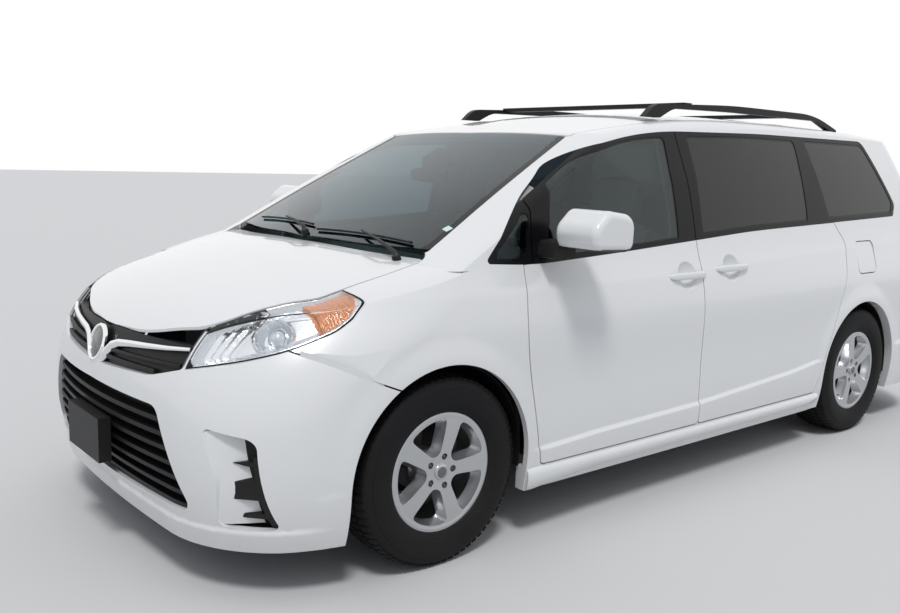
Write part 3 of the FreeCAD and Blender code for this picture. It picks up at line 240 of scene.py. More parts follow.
# Each finish: colour, roughness, (grain's scale, strength), (dust's amount, height in metres), other sockets
FINISHES = {
    "body_white_paint": ((0.74, 0.745, 0.75), 0.30, (900, 0.02), (0.16, 0.62),
                         {"Coat Weight": 0.9, "Coat Roughness": 0.04}),
    "window_band_black": ((0.005, 0.005, 0.006), 0.24, (700, 0.03), None, {"Specular IOR Level": 0.18}),
    "glass_border_print": ((0.005, 0.006, 0.007), 0.12, (800, 0.01), None, {"Specular IOR Level": 0.22}),
    # the windshield's blue-green is partly the glass's own tint and partly painted shade: it is darkened to
    # stand in for the dim cabin seen through it
    "windshield_glass_tint_and_shade": ((0.13, 0.23, 0.28), 0.0, None, None,
                         {"Transmission Weight": 1.0, "IOR": 1.45, "Specular IOR Level": 0.15}),
    "front_door_glass": ((0.26, 0.37, 0.37), 0.0, None, None,
                         {"Transmission Weight": 1.0, "IOR": 1.45, "Specular IOR Level": 0.08}),
    "privacy_glass": ((0.02, 0.028, 0.036), 0.0, None, None,
                      {"Transmission Weight": 1.0, "IOR": 1.45, "Specular IOR Level": 0.05}),
    "headlamp_lens_clear": ((0.96, 0.97, 0.98), 0.0, None, None, {"Transmission Weight": 1.0, "IOR": 1.42}),
    "tail_lamp_red": ((0.50, 0.012, 0.010), 0.08, (500, 0.05), None, {"Coat Weight": 0.9}),
    "headlamp_bowl_chrome": ((0.80, 0.82, 0.85), 0.22, (300, 0.02), None, {"Metallic": 1.0}),
    "headlamp_ball_lens": ((0.62, 0.66, 0.70), 0.04, (300, 0.01), None,
                           {"Metallic": 0.6, "Coat Weight": 1.0}),
    "turn_lamp_amber": ((0.62, 0.17, 0.012), 0.25, (500, 0.05), None,
                        {"Coat Weight": 1.0, "Emission Color": (0.85, 0.25, 0.01, 1),
                         "Emission Strength": 0.05}),
    "trim_black_plastic": ((0.008, 0.008, 0.009), 0.45, (500, 0.25), (0.05, 0.8),
                           {"Specular IOR Level": 0.25}),
    "grille_gloss_black": ((0.006, 0.006, 0.007), 0.45, (500, 0.10), None, {"Specular IOR Level": 0.25}),
    "grille_disc_grey": ((0.05, 0.05, 0.055), 0.2, (300, 0.02), None, {"Metallic": 0.5, "Coat Weight": 0.8}),
    "bright_chrome": ((0.86, 0.87, 0.88), 0.06, (400, 0.01), None, {"Metallic": 1.0}),
    "tyre_rubber": ((0.008, 0.008, 0.009), 0.62, (260, 0.35), (0.03, 0.72), {"Specular IOR Level": 0.15}),
    "wheel_silver_paint": ((0.50, 0.51, 0.525), 0.27, (900, 0.03), (0.10, 0.7),
                           {"Metallic": 0.85, "Coat Weight": 0.5}),
    "wheel_nut_steel": ((0.10, 0.10, 0.105), 0.3, (300, 0.05), None, {"Metallic": 0.9}),
    "wheel_cap_grey": ((0.16, 0.16, 0.165), 0.35, (400, 0.05), None, {"Metallic": 0.6}),
    "cast_iron": ((0.10, 0.095, 0.09), 0.6, (220, 0.4), (0.5, 0.9), {"Metallic": 0.6}),
    "underbody_seal": ((0.035, 0.035, 0.037), 0.75, (160, 0.5), (0.5, 0.9), {}),
    "engine_alloy": ((0.30, 0.30, 0.30), 0.5, (200, 0.4), (0.4, 1.0), {"Metallic": 0.8}),
    "exhaust_steel": ((0.42, 0.40, 0.38), 0.38, (180, 0.2), (0.4, 0.8), {"Metallic": 0.9}),
    "mirror_glass": ((0.72, 0.74, 0.76), 0.03, (300, 0.005), None, {"Metallic": 1.0}),
    "screen_label_pale": ((0.62, 0.80, 0.74), 0.5, (300, 0.02), None, {}),
    "blank_plate": ((0.55, 0.56, 0.57), 0.4, (300, 0.05), None, {}),
    "cabin_trim_grey": ((0.40, 0.385, 0.365), 0.7, (500, 0.35), None, {}),
    "dashboard_soft_plastic": ((0.10, 0.098, 0.096), 0.6, (600, 0.4), None, {}),
    "steering_wheel_grip": ((0.035, 0.034, 0.033), 0.45, (700, 0.4), None, {}),
    "seat_cloth_beige": ((0.50, 0.47, 0.43), 0.85, (1500, 0.6), None, {"Sheen Weight": 0.3}),
    "stage_floor_pale": ((0.62, 0.62, 0.62), 0.9, (3, 0.0), None, {}),
}
DUST_COLOUR = (0.36, 0.32, 0.27, 1)
DUST_ROUGHNESS = 0.85
GRAIN_DEPTH = 0.0006

# The finish of each CAD node that stays in sight
NODE_LOOKS = {
    "body_white_paint": "hood roof_panel liftgate fuel_flap mirror_left mirror_right",
    "window_band_black": "window_frames door_frame_left door_frame_right",
    "tail_lamp_red": "tail_lamps",
    "headlamp_lens_clear": "headlamp_lenses",
    "headlamp_bowl_chrome": "headlamp_housings",
    "grille_gloss_black": "grilles",
    "trim_black_plastic": "cowl_panel plate_bracket roof_rails wheel_liners",
    "tyre_rubber": "tyre_front_left tyre_front_right tyre_rear_left tyre_rear_right",
    "wheel_silver_paint": "wheel_front_left wheel_front_right wheel_rear_left wheel_rear_right",
    "cast_iron": "knuckle_left knuckle_right front_subframe rear_axle",
    "underbody_seal": "floor_pan front_rails fuel_tank",
    "engine_alloy": "engine_block radiator",
    "exhaust_steel": "exhaust",
    "cabin_trim_grey": "cabin_lining",
    "dashboard_soft_plastic": "dashboard",
    "steering_wheel_grip": "steering_wheel",
    "seat_cloth_beige": "front_seats rear_seats",
}


def finish(name):
    """the material of a row of FINISHES, with grain of its own and road dust where it has any"""
    look = bpy.data.materials.get(name)
    if look:
        return look
    colour, rough, grain, dust, sockets = FINISHES[name]
    look = bpy.data.materials.new(name)
    look.use_nodes = True
    look.diffuse_color = (*colour, 1)
    tree = look.node_tree
    link = tree.links.new
    shader = tree.nodes["Principled BSDF"]
    for socket, value in {"Base Color": (*colour, 1), "Roughness": rough, **sockets}.items():
        shader.inputs[socket].default_value = value
    if dust:
        group = node(tree, "ShaderNodeGroup", node_tree=dust_group())
        group.inputs["Amount"].default_value, group.inputs["Height"].default_value = dust
        mix = node(tree, "ShaderNodeMix", data_type="RGBA")
        mix.inputs["A"].default_value = (*colour, 1)
        mix.inputs["B"].default_value = DUST_COLOUR
        duller = node(tree, "ShaderNodeMapRange")
        duller.inputs["To Min"].default_value = rough
        duller.inputs["To Max"].default_value = DUST_ROUGHNESS
        link(group.outputs["Mask"], mix.inputs["Factor"])
        link(group.outputs["Mask"], duller.inputs["Value"])
        link(mix.outputs["Result"], shader.inputs["Base Color"])
        link(duller.outputs["Result"], shader.inputs["Roughness"])
    if grain:
        group = node(tree, "ShaderNodeGroup", node_tree=grain_group())
        bump = node(tree, "ShaderNodeBump")
        group.inputs["Scale"].default_value, bump.inputs["Strength"].default_value = grain
        bump.inputs["Distance"].default_value = GRAIN_DEPTH
        link(group.outputs["Height"], bump.inputs["Height"])
        link(bump.outputs["Normal"], shader.inputs["Normal"])
    return look


# Painted panels
def side_of(p):
    """1 on the left side and -1 on the right"""
    return np.where(p[..., 1] < 0, -1.0, 1.0)


def eased(t):
    """a smooth step from 0 to 1"""
    t = np.clip(t, 0, 1)
    return t * t * (3 - 2 * t)


def followed(x, line):
    """the height of a line of (x, z) points at x"""
    xs, zs = zip(*sorted(line))
    return np.interp(x, xs, zs)


def side_form(p):
    """how far the painted side stands out from the plain CAD skin: shoulder, hollow, ledge, flares, dishes"""
    look = bpy.context.scene.minivan_panels
    x, z = p[..., 0], p[..., 2]
    below = z - followed(x, SHOULDER)
    depth = look.shoulder * np.exp(-np.sqrt(below**2 + CREASE_ROUNDING**2) / CREASE_FADE)
    depth = depth - look.hollow * np.exp(-(((z - HOLLOW_Z) / HOLLOW_SPREAD) ** 2))
    depth = depth + look.ledge * (1 - eased((z - followed(x, LEDGE)) / LEDGE_RISE))
    near = np.minimum(np.hypot(x - FRONT_AXLE, z - AXLE_Z), np.hypot(x - REAR_AXLE, z - AXLE_Z)) - ARCH
    depth = depth * eased(near / ARCH_FADE)
    depth = depth + look.flare * (1 - eased(near / FLARE_REACH))
    depth = depth * eased((followed(x, BELT) - z) / BELT_FADE)
    depth = depth * eased((x - TAIL_END) / TAIL_FADE) * eased((NOSE_END - x) / NOSE_FADE)
    for cx, cz in DISHES:
        r = np.hypot((x - cx) / DISH_OVAL, z - cz) / DISH
        depth = depth - look.dish * np.clip(1 - r**2, 0, 1)
    way = np.zeros_like(p)
    way[..., 1] = side_of(p)
    return depth, way


def nose_form(p):
    """the front bumper's flares and chin"""
    look = bpy.context.scene.minivan_panels
    x, z = p[..., 0], p[..., 2]
    lip = eased((CHIN_TOP - z) / CHIN_FADE) * eased((x - CHIN_BACK) / CHIN_RUN)
    depth = side_form(p)[0] + look.chin * lip
    way = np.zeros_like(p)
    way[..., 0] = np.maximum(x - NOSE_CENTRE, 0)
    way[..., 1] = p[..., 1]
    way /= np.linalg.norm(way, axis=-1, keepdims=True) + 1e-9
    return depth, way


def around_dish(middle):
    """whether places lie near a handle's dish"""
    near = [(np.abs(middle[:, 0] - x) < DISH + 0.02) & (np.abs(middle[:, 2] - z) < DISH + 0.01)
            for x, z in DISHES]
    return near[0] | near[1]


def cut_round_arches(tri, *axles):
    """rings of cuts that let the wheel arches' flares rise smoothly"""
    for axle in axles:
        for reach in ARCH_CUTS:
            radius = ARCH + reach
            tri = parted(tri, lambda q: np.hypot(q[:, :, 0] - axle, q[:, :, 2] - AXLE_Z) - radius)
    return tri


def side_panel(name, source, body, looks, inner=None):
    """a panel of the side in place of its CAD node; inner picks the triangles that take the second look"""
    tri = triangles(source)
    tri = gridded(tri, 0, -2.5, 2.2, PANEL_GRID)
    tri = gridded(tri, 2, 0.2, 1.24, PANEL_GRID)
    for line, cuts in ((LEDGE, LEDGE_CUTS), (SHOULDER, SHOULDER_CUTS)):
        for cut in cuts:
            tri = parted(tri, lambda q: q[:, :, 2] - followed(q[:, :, 0], line) - cut)
    tri = cut_round_arches(tri, FRONT_AXLE, REAR_AXLE)
    if "door" in source:
        for x, z in DISHES:
            tri = gridded(tri, 0, x - DISH - 0.012, x + DISH + 0.013, DISH_GRID, around_dish)
            tri = gridded(tri, 2, z - DISH - 0.004, z + DISH + 0.005, DISH_GRID, around_dish)
    item = made(name, formed(tri, side_form), looks, body, inner(tri) if inner else None)
    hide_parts(source)
    return item


def faces_in(tri):
    """the triangles of a door's shell that face the cabin"""
    n = tri[:, :, 3:].mean(1)
    p = tri[:, :, :3].mean(1)
    return (n[:, 1] * np.sign(p[:, 1]) + 0.5 * n[:, 2] + 0.2 * n[:, 0] < -0.25) & (np.abs(p[:, 1]) < 0.952)


def build_panels():
    """the painted panels, with cabin trim on the faces of doors and sides that look in"""
    paint = finish("body_white_paint")
    trim = finish("cabin_trim_grey")
    for side in ("left", "right"):
        side_panel("front_door_skin_" + side, "door_front_" + side, side + "_door", [paint, trim], faces_in)
    side_panel("slide_door_skins", "slide_doors", "body", [paint, trim], faces_in)
    side_panel("body_side_skins", "body_sides", "body", [paint, trim], faces_in)
    side_panel("fender_skins", "fenders", "body", [paint])
    tri = triangles("front_bumper")
    tri = gridded(tri, 0, 1.8, 2.56, 0.03)
    tri = gridded(tri, 2, 0.18, 0.9, 0.015)
    tri = cut_round_arches(tri, FRONT_AXLE)
    skin = made("front_bumper_skin", formed(tri, nose_form), [paint], "body")
    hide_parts("front_bumper")
    tri = triangles("rear_bumper")
    tri = gridded(tri, 0, -2.56, -1.6, 0.04)
    tri = gridded(tri, 2, 0.2, 0.73, 0.02)
    skin = made("rear_bumper_skin", formed(tri, side_form), [paint], "body")
    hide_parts("rear_bumper")


def dress_nodes():
    """finishes for the CAD nodes that stay in sight"""
    for look, names in NODE_LOOKS.items():
        for name in names.split():
            NODES[name].data.materials.clear()
            NODES[name].data.materials.append(finish(look))


def rim_distance(tri):
    """the distance of places to the rim of a pane"""
    n = tri[:, :, 3:].mean(1)
    broad = np.abs((n * pane_normal(tri)).sum(1))
    rim = tri[broad < 0.5][:, :, :3]
    points = []
    for a, b in ((0, 1), (1, 2), (2, 0)):
        for k in np.linspace(0, 1, 33):
            points.append(rim[:, a] + k * (rim[:, b] - rim[:, a]))
    points = np.unique(np.round(np.concatenate(points), 3), axis=0)
    tree = KDTree(len(points))
    for i, p in enumerate(points):
        tree.insert(p, i)
    tree.balance()

    def measure(p):
        flat = p.reshape(-1, 3)
        unique, back = np.unique(np.round(flat, 5), axis=0, return_inverse=True)
        found = np.array([tree.find(q)[2] for q in unique])
        return found[back.ravel()].reshape(p.shape[:-1])

    return measure


def pane_normal(tri):
    """for each triangle, the normal of its pane: across the car for side panes, along it for the screens"""
    p = tri[:, :, :3].mean(1)
    side = np.stack([np.zeros(len(p)), np.sign(p[:, 1]), np.full(len(p), 0.4)], -1)
    screen = np.tile([0.6, 0.0, 0.8], (len(p), 1))
    wide = np.abs(tri[:, :, 1]).min() < 0.4
    n = screen if wide else side
    return n / np.linalg.norm(n, axis=1, keepdims=True)


def pane(name, source, body, glass, border):
    """a pane in place of its CAD node, with a printed border"""
    tri = triangles(source)
    measure = rim_distance(tri)
    for axis in range(3):
        low, high = tri[:, :, axis].min(), tri[:, :, axis].max()
        tri = gridded(tri, axis, low + PANE_GRID, high, PANE_GRID)
    tri = parted(tri, lambda p: measure(p) - border)
    edge = measure(tri[:, :, :3].mean(1)) < border
    item = made(name, tri, [glass, finish("glass_border_print")], body, edge)
    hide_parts(source)
    return item


# Each pane: its name, the CAD node that it stands for, body, finish, slot, width of the printed border
PANES = [
    ("headlamp_clear_lenses", "headlamp_lenses", "body", "headlamp_lens_clear", "lens", 0.004),
    ("windshield_pane", "windshield", "body", "windshield_glass_tint_and_shade", "screen_glass", 0.034),
    ("rear_side_panes", "rear_side_glass", "body", "privacy_glass", "dark_glass", 0.012),
    ("vent_panes", "vent_glass", "body", "front_door_glass", "side_glass", 0.008),
    ("liftgate_pane", "liftgate_glass", "tailgate", "privacy_glass", "dark_glass", 0.03),
    ("front_door_pane_left", "door_glass_left", "left_door", "front_door_glass", "side_glass", 0.008),
    ("front_door_pane_right", "door_glass_right", "right_door", "front_door_glass", "side_glass", 0.008),
]


def build_glass():
    for name, source, body, look, slot, border in PANES:
        pane(name, source, body, finish(look), border)


# The stage: the camera as solved from the photo, in metres, degrees and pixels
CAMERA_AT = (3.6231, 3.4033, 1.4756)
CAMERA_TURN = (-129.9, -9.11, 1.76)
FOCAL_PIXELS = 915.4
PHOTO_WIDTH = 900.0
SENSOR = 36.0
SUN_FROM = (0.30, 0.42, 0.86)
FLOOR_HALF = 60
# The sky's colours from straight below (0) to straight above (1)
SKY = [(0.49, (0.30, 0.29, 0.28, 1)), (0.54, (0.26, 0.28, 0.31, 1)), (0.70, (0.72, 0.78, 0.88, 1)),
       (1.0, (0.96, 0.98, 1.0, 1))]


def build_stage():
    """the floor, the sky and the sun, and the camera that took the photo"""
    scene = bpy.context.scene
    look = scene.minivan_stage
    ground = bpy.data.meshes.new("stage_floor")
    corners = [(x * FLOOR_HALF, y * FLOOR_HALF, 0) for x, y in ((-1, -1), (1, -1), (1, 1), (-1, 1))]
    ground.from_pydata(corners, [], [(0, 1, 2, 3)])
    floor = bpy.data.objects.new("stage_floor", ground)
    scene.collection.objects.link(floor)
    floor.location.z = -0.001
    ground.materials.append(finish("stage_floor_pale"))
    world = bpy.data.worlds.new("stage_sky")
    scene.world = world
    world.use_nodes = True
    tree = world.node_tree
    tree.nodes.clear()
    out = node(tree, "ShaderNodeOutputWorld")
    seen = node(tree, "ShaderNodeBackground")
    seen.inputs["Color"].default_value = (1, 1, 1, 1)
    light = node(tree, "ShaderNodeBackground")
    light.inputs["Strength"].default_value = look.sky
    path = node(tree, "ShaderNodeLightPath")
    place = node(tree, "ShaderNodeTexCoord")
    split = node(tree, "ShaderNodeSeparateXYZ")
    ramp = node(tree, "ShaderNodeValToRGB")
    for position, colour in SKY:
        ramp.color_ramp.elements.new(position).color = colour
    ramp.color_ramp.elements.remove(ramp.color_ramp.elements[-1])
    ramp.color_ramp.elements.remove(ramp.color_ramp.elements[0])
    shift = node(tree, "ShaderNodeMapRange")
    shift.inputs["From Min"].default_value = -1
    mix = node(tree, "ShaderNodeMixShader")
    link = tree.links.new
    link(place.outputs["Generated"], split.inputs[0])
    link(split.outputs["Z"], shift.inputs["Value"])
    link(shift.outputs["Result"], ramp.inputs["Fac"])
    link(ramp.outputs["Color"], light.inputs["Color"])
    either = node(tree, "ShaderNodeMath", operation="MAXIMUM")
    shown = node(tree, "ShaderNodeMath", operation="MAXIMUM")
    link(path.outputs["Is Glossy Ray"], either.inputs[0])
    link(path.outputs["Is Transmission Ray"], either.inputs[1])
    link(path.outputs["Is Camera Ray"], shown.inputs[0])
    link(either.outputs[0], shown.inputs[1])
    link(shown.outputs[0], mix.inputs["Fac"])
    link(light.outputs[0], mix.inputs[1])
    link(seen.outputs[0], mix.inputs[2])
    link(mix.outputs[0], out.inputs[0])
    sun = bpy.data.lights.new("stage_sun", "SUN")
    sun.energy = look.sun
    sun.angle = math.radians(look.softness)
    lamp = bpy.data.objects.new("stage_sun", sun)
    scene.collection.objects.link(lamp)
    lamp.rotation_euler = Vector(SUN_FROM).to_track_quat("Z", "Y").to_euler()
    scene.view_settings.view_transform = "Standard"
    camera = bpy.data.objects.new("photo_camera", bpy.data.cameras.new("photo_camera"))
    scene.collection.objects.link(camera)
    camera.data.sensor_width = SENSOR
    camera.data.lens = SENSOR * FOCAL_PIXELS / PHOTO_WIDTH
    camera.data.clip_end = 200
    yaw, pitch, roll = (math.radians(a) for a in CAMERA_TURN)
    ahead = Vector((math.cos(yaw) * math.cos(pitch), math.sin(yaw) * math.cos(pitch), math.sin(pitch)))
    right = ahead.cross(Vector((0, 0, 1))).normalized()
    up = right.cross(ahead)
    x_axis = right * math.cos(roll) + up * math.sin(roll)
    y_axis = up * math.cos(roll) - right * math.sin(roll)
    turn = Matrix((x_axis, y_axis, -ahead)).transposed()
    camera.matrix_world = Matrix.Translation(CAMERA_AT) @ turn.to_4x4()
    scene.camera = camera


# Small pieces: skins over rings, turned forms, and what joins them
def lofted(rings, closed=True):
    """places and faces of a skin over rings of equal count"""
    count = len(rings[0])
    places = [tuple(q) for ring in rings for q in ring]
    faces = []
    for low in range(0, (len(rings) - 1) * count, count):
        high = low + count
        faces += [(low + k, low + (k + 1) % count, high + (k + 1) % count, high + k) for k in range(count)]
    if closed:
        faces += [tuple(range(count))[::-1], tuple(range(len(places) - count, len(places)))]
    return places, faces


def sheet(rows):
    """places and faces of an open sheet over rows of equal count"""
    count = len(rows[0])
    faces = [(i * count + k, i * count + k + 1, (i + 1) * count + k + 1, (i + 1) * count + k)
             for i in range(len(rows) - 1) for k in range(count - 1)]
    return [q for row in rows for q in row], faces


def swept(path, widths, heights, up=(0, 0, 1), sides=12, flatness=0.6):
    """a bar along a path with rounded sections; each half size is one number, or one for each place"""
    path = [Vector(q) for q in path]
    widths, heights = (np.broadcast_to(half, len(path)).tolist() for half in (widths, heights))
    rings = []
    for i, q in enumerate(path):
        ahead = (path[min(i + 1, len(path) - 1)] - path[max(i - 1, 0)]).normalized()
        side = ahead.cross(Vector(up)).normalized()
        over = side.cross(ahead)
        ring = []
        for k in range(sides):
            a = 2 * math.pi * k / sides
            c, d = math.cos(a), math.sin(a)
            c = math.copysign(abs(c) ** flatness, c)
            d = math.copysign(abs(d) ** flatness, d)
            ring.append(q + side * c * widths[i] + over * d * heights[i])
        rings.append(ring)
    return lofted(rings)


def turned(profile, origin, axis, count=48):
    """a form turned about an axis from (along, radius) pairs"""
    axis = Vector(axis).normalized()
    side = axis.orthogonal().normalized()
    other = axis.cross(side)
    angles = [2 * math.pi * k / count for k in range(count)]
    rings = [[Vector(origin) + axis * along + (side * math.cos(a) + other * math.sin(a)) * max(radius, 1e-4)
              for a in angles] for along, radius in profile]
    return lofted(rings, False)


def block(low, high):
    """a box between two corners"""
    (x0, y0, z0), (x1, y1, z1) = low, high
    return lofted([[(x, y0, z0), (x, y1, z0), (x, y1, z1), (x, y0, z1)] for x in (x0, x1)])


def joined(parts):
    """several forms as one"""
    places, faces = [], []
    for more, rows in parts:
        faces += [tuple(i + len(places) for i in row) for row in rows]
        places += [tuple(q) for q in more]
    return places, faces


def flipped(part):
    """the same form on the other side of the centre plane"""
    places, faces = part
    return [(x, -y, z) for x, y, z in places], [tuple(reversed(f)) for f in faces]


def pair(part):
    """a form of the left side and the same on the right"""
    return joined([part, flipped(part)])


def shaped(name, part, look, body, crease=35, soften=0.0):
    """a finished piece from places and faces, smooth except at its creases"""
    mesh = bpy.data.meshes.new(name)
    places, faces = part
    mesh.from_pydata([tuple(q) for q in places], [], faces)
    bm = bmesh.new()
    bm.from_mesh(mesh)
    bmesh.ops.remove_doubles(bm, verts=bm.verts, dist=1e-5)
    bmesh.ops.recalc_face_normals(bm, faces=bm.faces)
    if soften:
        sharp = [e for e in bm.edges if len(e.link_faces) == 2 and e.calc_face_angle(0) > math.radians(30)]
        bmesh.ops.bevel(bm, geom=sharp, offset=soften, segments=2, affect="EDGES", clamp_overlap=True)
    bm.to_mesh(mesh)
    bm.free()
    mesh.materials.append(look)
    mesh.shade_smooth()
    mesh.set_sharp_from_angle(angle=math.radians(crease))
    item = bpy.data.objects.new(name, mesh)
    bpy.context.scene.collection.objects.link(item)
    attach(item, body)
    return item


def shell(*names):
    """CAD nodes as a surface to measure from"""
    tri = triangles(*names)[:, :, :3]
    return BVHTree.FromPolygons(tri.reshape(-1, 3).tolist(), np.arange(len(tri) * 3).reshape(-1, 3).tolist())


def landing(surface, start, way):
    """where a ray first meets a surface"""
    hit = surface.ray_cast(Vector(start), Vector(way))
    if hit[0] is None:
        raise ValueError(f"nothing of the body lies ahead of {start}")
    return hit[0]


def ring_tree():
    """the geometry nodes that repeat a unit round a circle; they lie flat, about +Z"""
    tree = bpy.data.node_groups.get("ring_of_units")
    if tree:
        return tree
    tree = bpy.data.node_groups.new("ring_of_units", "GeometryNodeTree")
    for name, way, kind in (("Geometry", "INPUT", "Geometry"), ("Count", "INPUT", "Int"),
                            ("Radius", "INPUT", "Float"), ("Unit", "INPUT", "Object"),
                            ("Finish", "INPUT", "Material"), ("Geometry", "OUTPUT", "Geometry")):
        tree.interface.new_socket(name, in_out=way, socket_type="NodeSocket" + kind)
    source, sink = node(tree, "NodeGroupInput"), node(tree, "NodeGroupOutput")
    circle = node(tree, "GeometryNodeMeshCircle")
    index = node(tree, "GeometryNodeInputIndex")
    share = node(tree, "ShaderNodeMath", operation="DIVIDE")
    angle = node(tree, "ShaderNodeMath", operation="MULTIPLY")
    angle.inputs[1].default_value = 2 * math.pi
    turn = node(tree, "ShaderNodeCombineXYZ")
    info = node(tree, "GeometryNodeObjectInfo")
    copies = node(tree, "GeometryNodeInstanceOnPoints")
    real = node(tree, "GeometryNodeRealizeInstances")
    coat = node(tree, "GeometryNodeSetMaterial")
    for a, b in ((source.outputs["Count"], circle.inputs["Vertices"]),
                 (source.outputs["Radius"], circle.inputs["Radius"]),
                 (source.outputs["Unit"], info.inputs["Object"]),
                 (index.outputs[0], share.inputs[0]),
                 (source.outputs["Count"], share.inputs[1]),
                 (share.outputs[0], angle.inputs[0]),
                 (angle.outputs[0], turn.inputs["Z"]),
                 (circle.outputs["Mesh"], copies.inputs["Points"]),
                 (info.outputs["Geometry"], copies.inputs["Instance"]),
                 (turn.outputs[0], copies.inputs["Rotation"]),
                 (copies.outputs[0], real.inputs[0]),
                 (real.outputs[0], coat.inputs["Geometry"]),
                 (source.outputs["Finish"], coat.inputs["Material"]),
                 (coat.outputs[0], sink.inputs[0])):
        tree.links.new(a, b)
    return tree


def repeated(name, unit, count, radius, look):
    """a unit, drawn at angle nought on +X, repeated round a circle about +Y by geometry nodes"""
    tree = ring_tree()
    scene = bpy.context.scene
    bit = bpy.data.objects.new(name + "_unit", bpy.data.meshes.new(name + "_unit"))
    bit.data.from_pydata([(x, z, y) for x, y, z in unit[0]], [], [tuple(reversed(f)) for f in unit[1]])
    host = bpy.data.objects.new(name + "_host", bpy.data.meshes.new(name + "_host"))
    scene.collection.objects.link(bit)
    scene.collection.objects.link(host)
    modifier = host.modifiers.new("ring", "NODES")
    modifier.node_group = tree
    values = {"Count": count, "Radius": radius, "Unit": bit, "Finish": look}
    for item in tree.interface.items_tree:
        if item.in_out == "INPUT" and item.name in values:
            modifier[item.identifier] = values[item.name]
    bpy.context.view_layer.update()
    mesh = bpy.data.meshes.new_from_object(host.evaluated_get(bpy.context.evaluated_depsgraph_get()))
    places = [(v.co.x, v.co.z, v.co.y) for v in mesh.vertices]
    faces = [tuple(reversed(f.vertices)) for f in mesh.polygons]
    for item in (host, bit):
        data = item.data
        bpy.data.objects.remove(item)
        bpy.data.meshes.remove(data)
    bpy.data.meshes.remove(mesh)
    return places, faces


def placed(part, x, y, z, hand=1, spin=0.0):
    """a wheel's form, drawn about +Y at the origin, put on its axle"""
    places, faces = part
    c, s = math.cos(spin), math.sin(spin)
    return ([(x + c * px + s * pz, y + hand * py, z - s * px + c * pz) for px, py, pz in places],
            faces if hand > 0 else [tuple(reversed(f)) for f in faces])


# Wheels and tyres
POCKETS = 5
SPOKE_TURN = math.radians(-90)
WHEEL_Y = 0.860
WHEEL_TURN = {"front": 0.35, "rear": 0.9}
SPOKE_HALF, SPOKE_FLARE, SPOKE_FROM = 0.0245, 0.080, 0.075
RIM, HUB = 0.199, 0.064
POCKET_ROUNDING = 0.008
FLANK, POCKET_DEPTH = 0.013, 0.045
LUG_CIRCLE, LUG_WELL, LUG_DEPTH = 0.05715, 0.0095, 0.017
TREAD_RING = 0.3
FACE_STEPS = 180
# The face of the wheel: radius, distance out from the wheel's middle
FACE = [(0, 0.0995), (0.024, 0.0985), (0.0285, 0.096), (0.0296, 0.090), (0.034, 0.090), (0.07, 0.093),
        (0.14, 0.097), (0.204, 0.0985), (0.2065, 0.0985), (0.2095, 0.1005), (0.2215, 0.0985)]


def pocket_level(p):
    """less than nought inside a wheel's pockets between its spokes"""
    r = np.hypot(p[..., 0], p[..., 2])
    a = np.arctan2(p[..., 2], p[..., 0]) - SPOKE_TURN
    sector = 2 * math.pi / POCKETS
    off = np.abs((a + sector / 2) % sector - sector / 2)
    spoke = SPOKE_HALF + SPOKE_FLARE * np.clip(r - SPOKE_FROM, 0, 1) - r * np.sin(off)
    rim = r - RIM
    hub = HUB - r
    k = POCKET_ROUNDING
    worst = np.maximum(np.maximum(spoke, rim), hub)
    shares = np.exp((spoke - worst) / k) + np.exp((rim - worst) / k) + np.exp((hub - worst) / k)
    return worst + k * np.log(shares)


def lug_distance(p):
    """the distance of places to the nearest lug well's middle"""
    a = SPOKE_TURN + 2 * math.pi * np.arange(POCKETS) / POCKETS
    return np.min([np.hypot(p[..., 0] - LUG_CIRCLE * np.cos(t), p[..., 2] - LUG_CIRCLE * np.sin(t))
                   for t in a], 0)


def wheel_face():
    """the wheel's outer face about +Y: flat spokes, curved flanks, lug wells and a stepped rim"""
    radii = [0.0, 0.012, 0.024, 0.0285, 0.0295, 0.031, 0.036, 0.042, 0.046, 0.050, 0.054, 0.058, 0.062, 0.066,
             0.070, 0.075, 0.08, 0.09, 0.10, 0.115, 0.13, 0.145, 0.16, 0.175, 0.185, 0.195, 0.2, 0.206, 0.208,
             0.214, 0.2215]
    angles = np.linspace(0, 2 * math.pi, FACE_STEPS + 1)
    tri = []
    for r0, r1 in zip(radii[:-1], radii[1:]):
        for a0, a1 in zip(angles[:-1], angles[1:]):
            q = [(r * math.cos(a), 0, r * math.sin(a)) for r, a in ((r0, a0), (r1, a0), (r1, a1), (r0, a1))]
            tri.append((q[0], q[2], q[1]))
            if r0 > 0:
                tri.append((q[0], q[3], q[2]))
    tri = np.array(tri, float)
    tri = np.concatenate([tri, np.zeros_like(tri)], -1)
    for level in (0.0, -0.002, -0.005, -0.009, -FLANK):
        tri = parted(tri, lambda q: pocket_level(q) - level)
    for radius in (LUG_WELL, 0.0110, 0.0125):
        tri = parted(tri, lambda q: lug_distance(q) - radius)
    tri = tri[pocket_level(tri[:, :, :3].mean(1)) > -FLANK]
    p = tri[:, :, :3]
    r = np.hypot(p[..., 0], p[..., 2])
    inside = np.clip(-pocket_level(p) / FLANK, 0, 1)
    face = followed(r, FACE) - POCKET_DEPTH * inside**0.8
    face = face - LUG_DEPTH * (1 - eased((lug_distance(p) - LUG_WELL) / 0.003))
    p[..., 1] = face
    places = p.reshape(-1, 3)
    return [tuple(q) for q in places], [tuple(range(3 * i, 3 * i + 3)) for i in range(len(tri))]


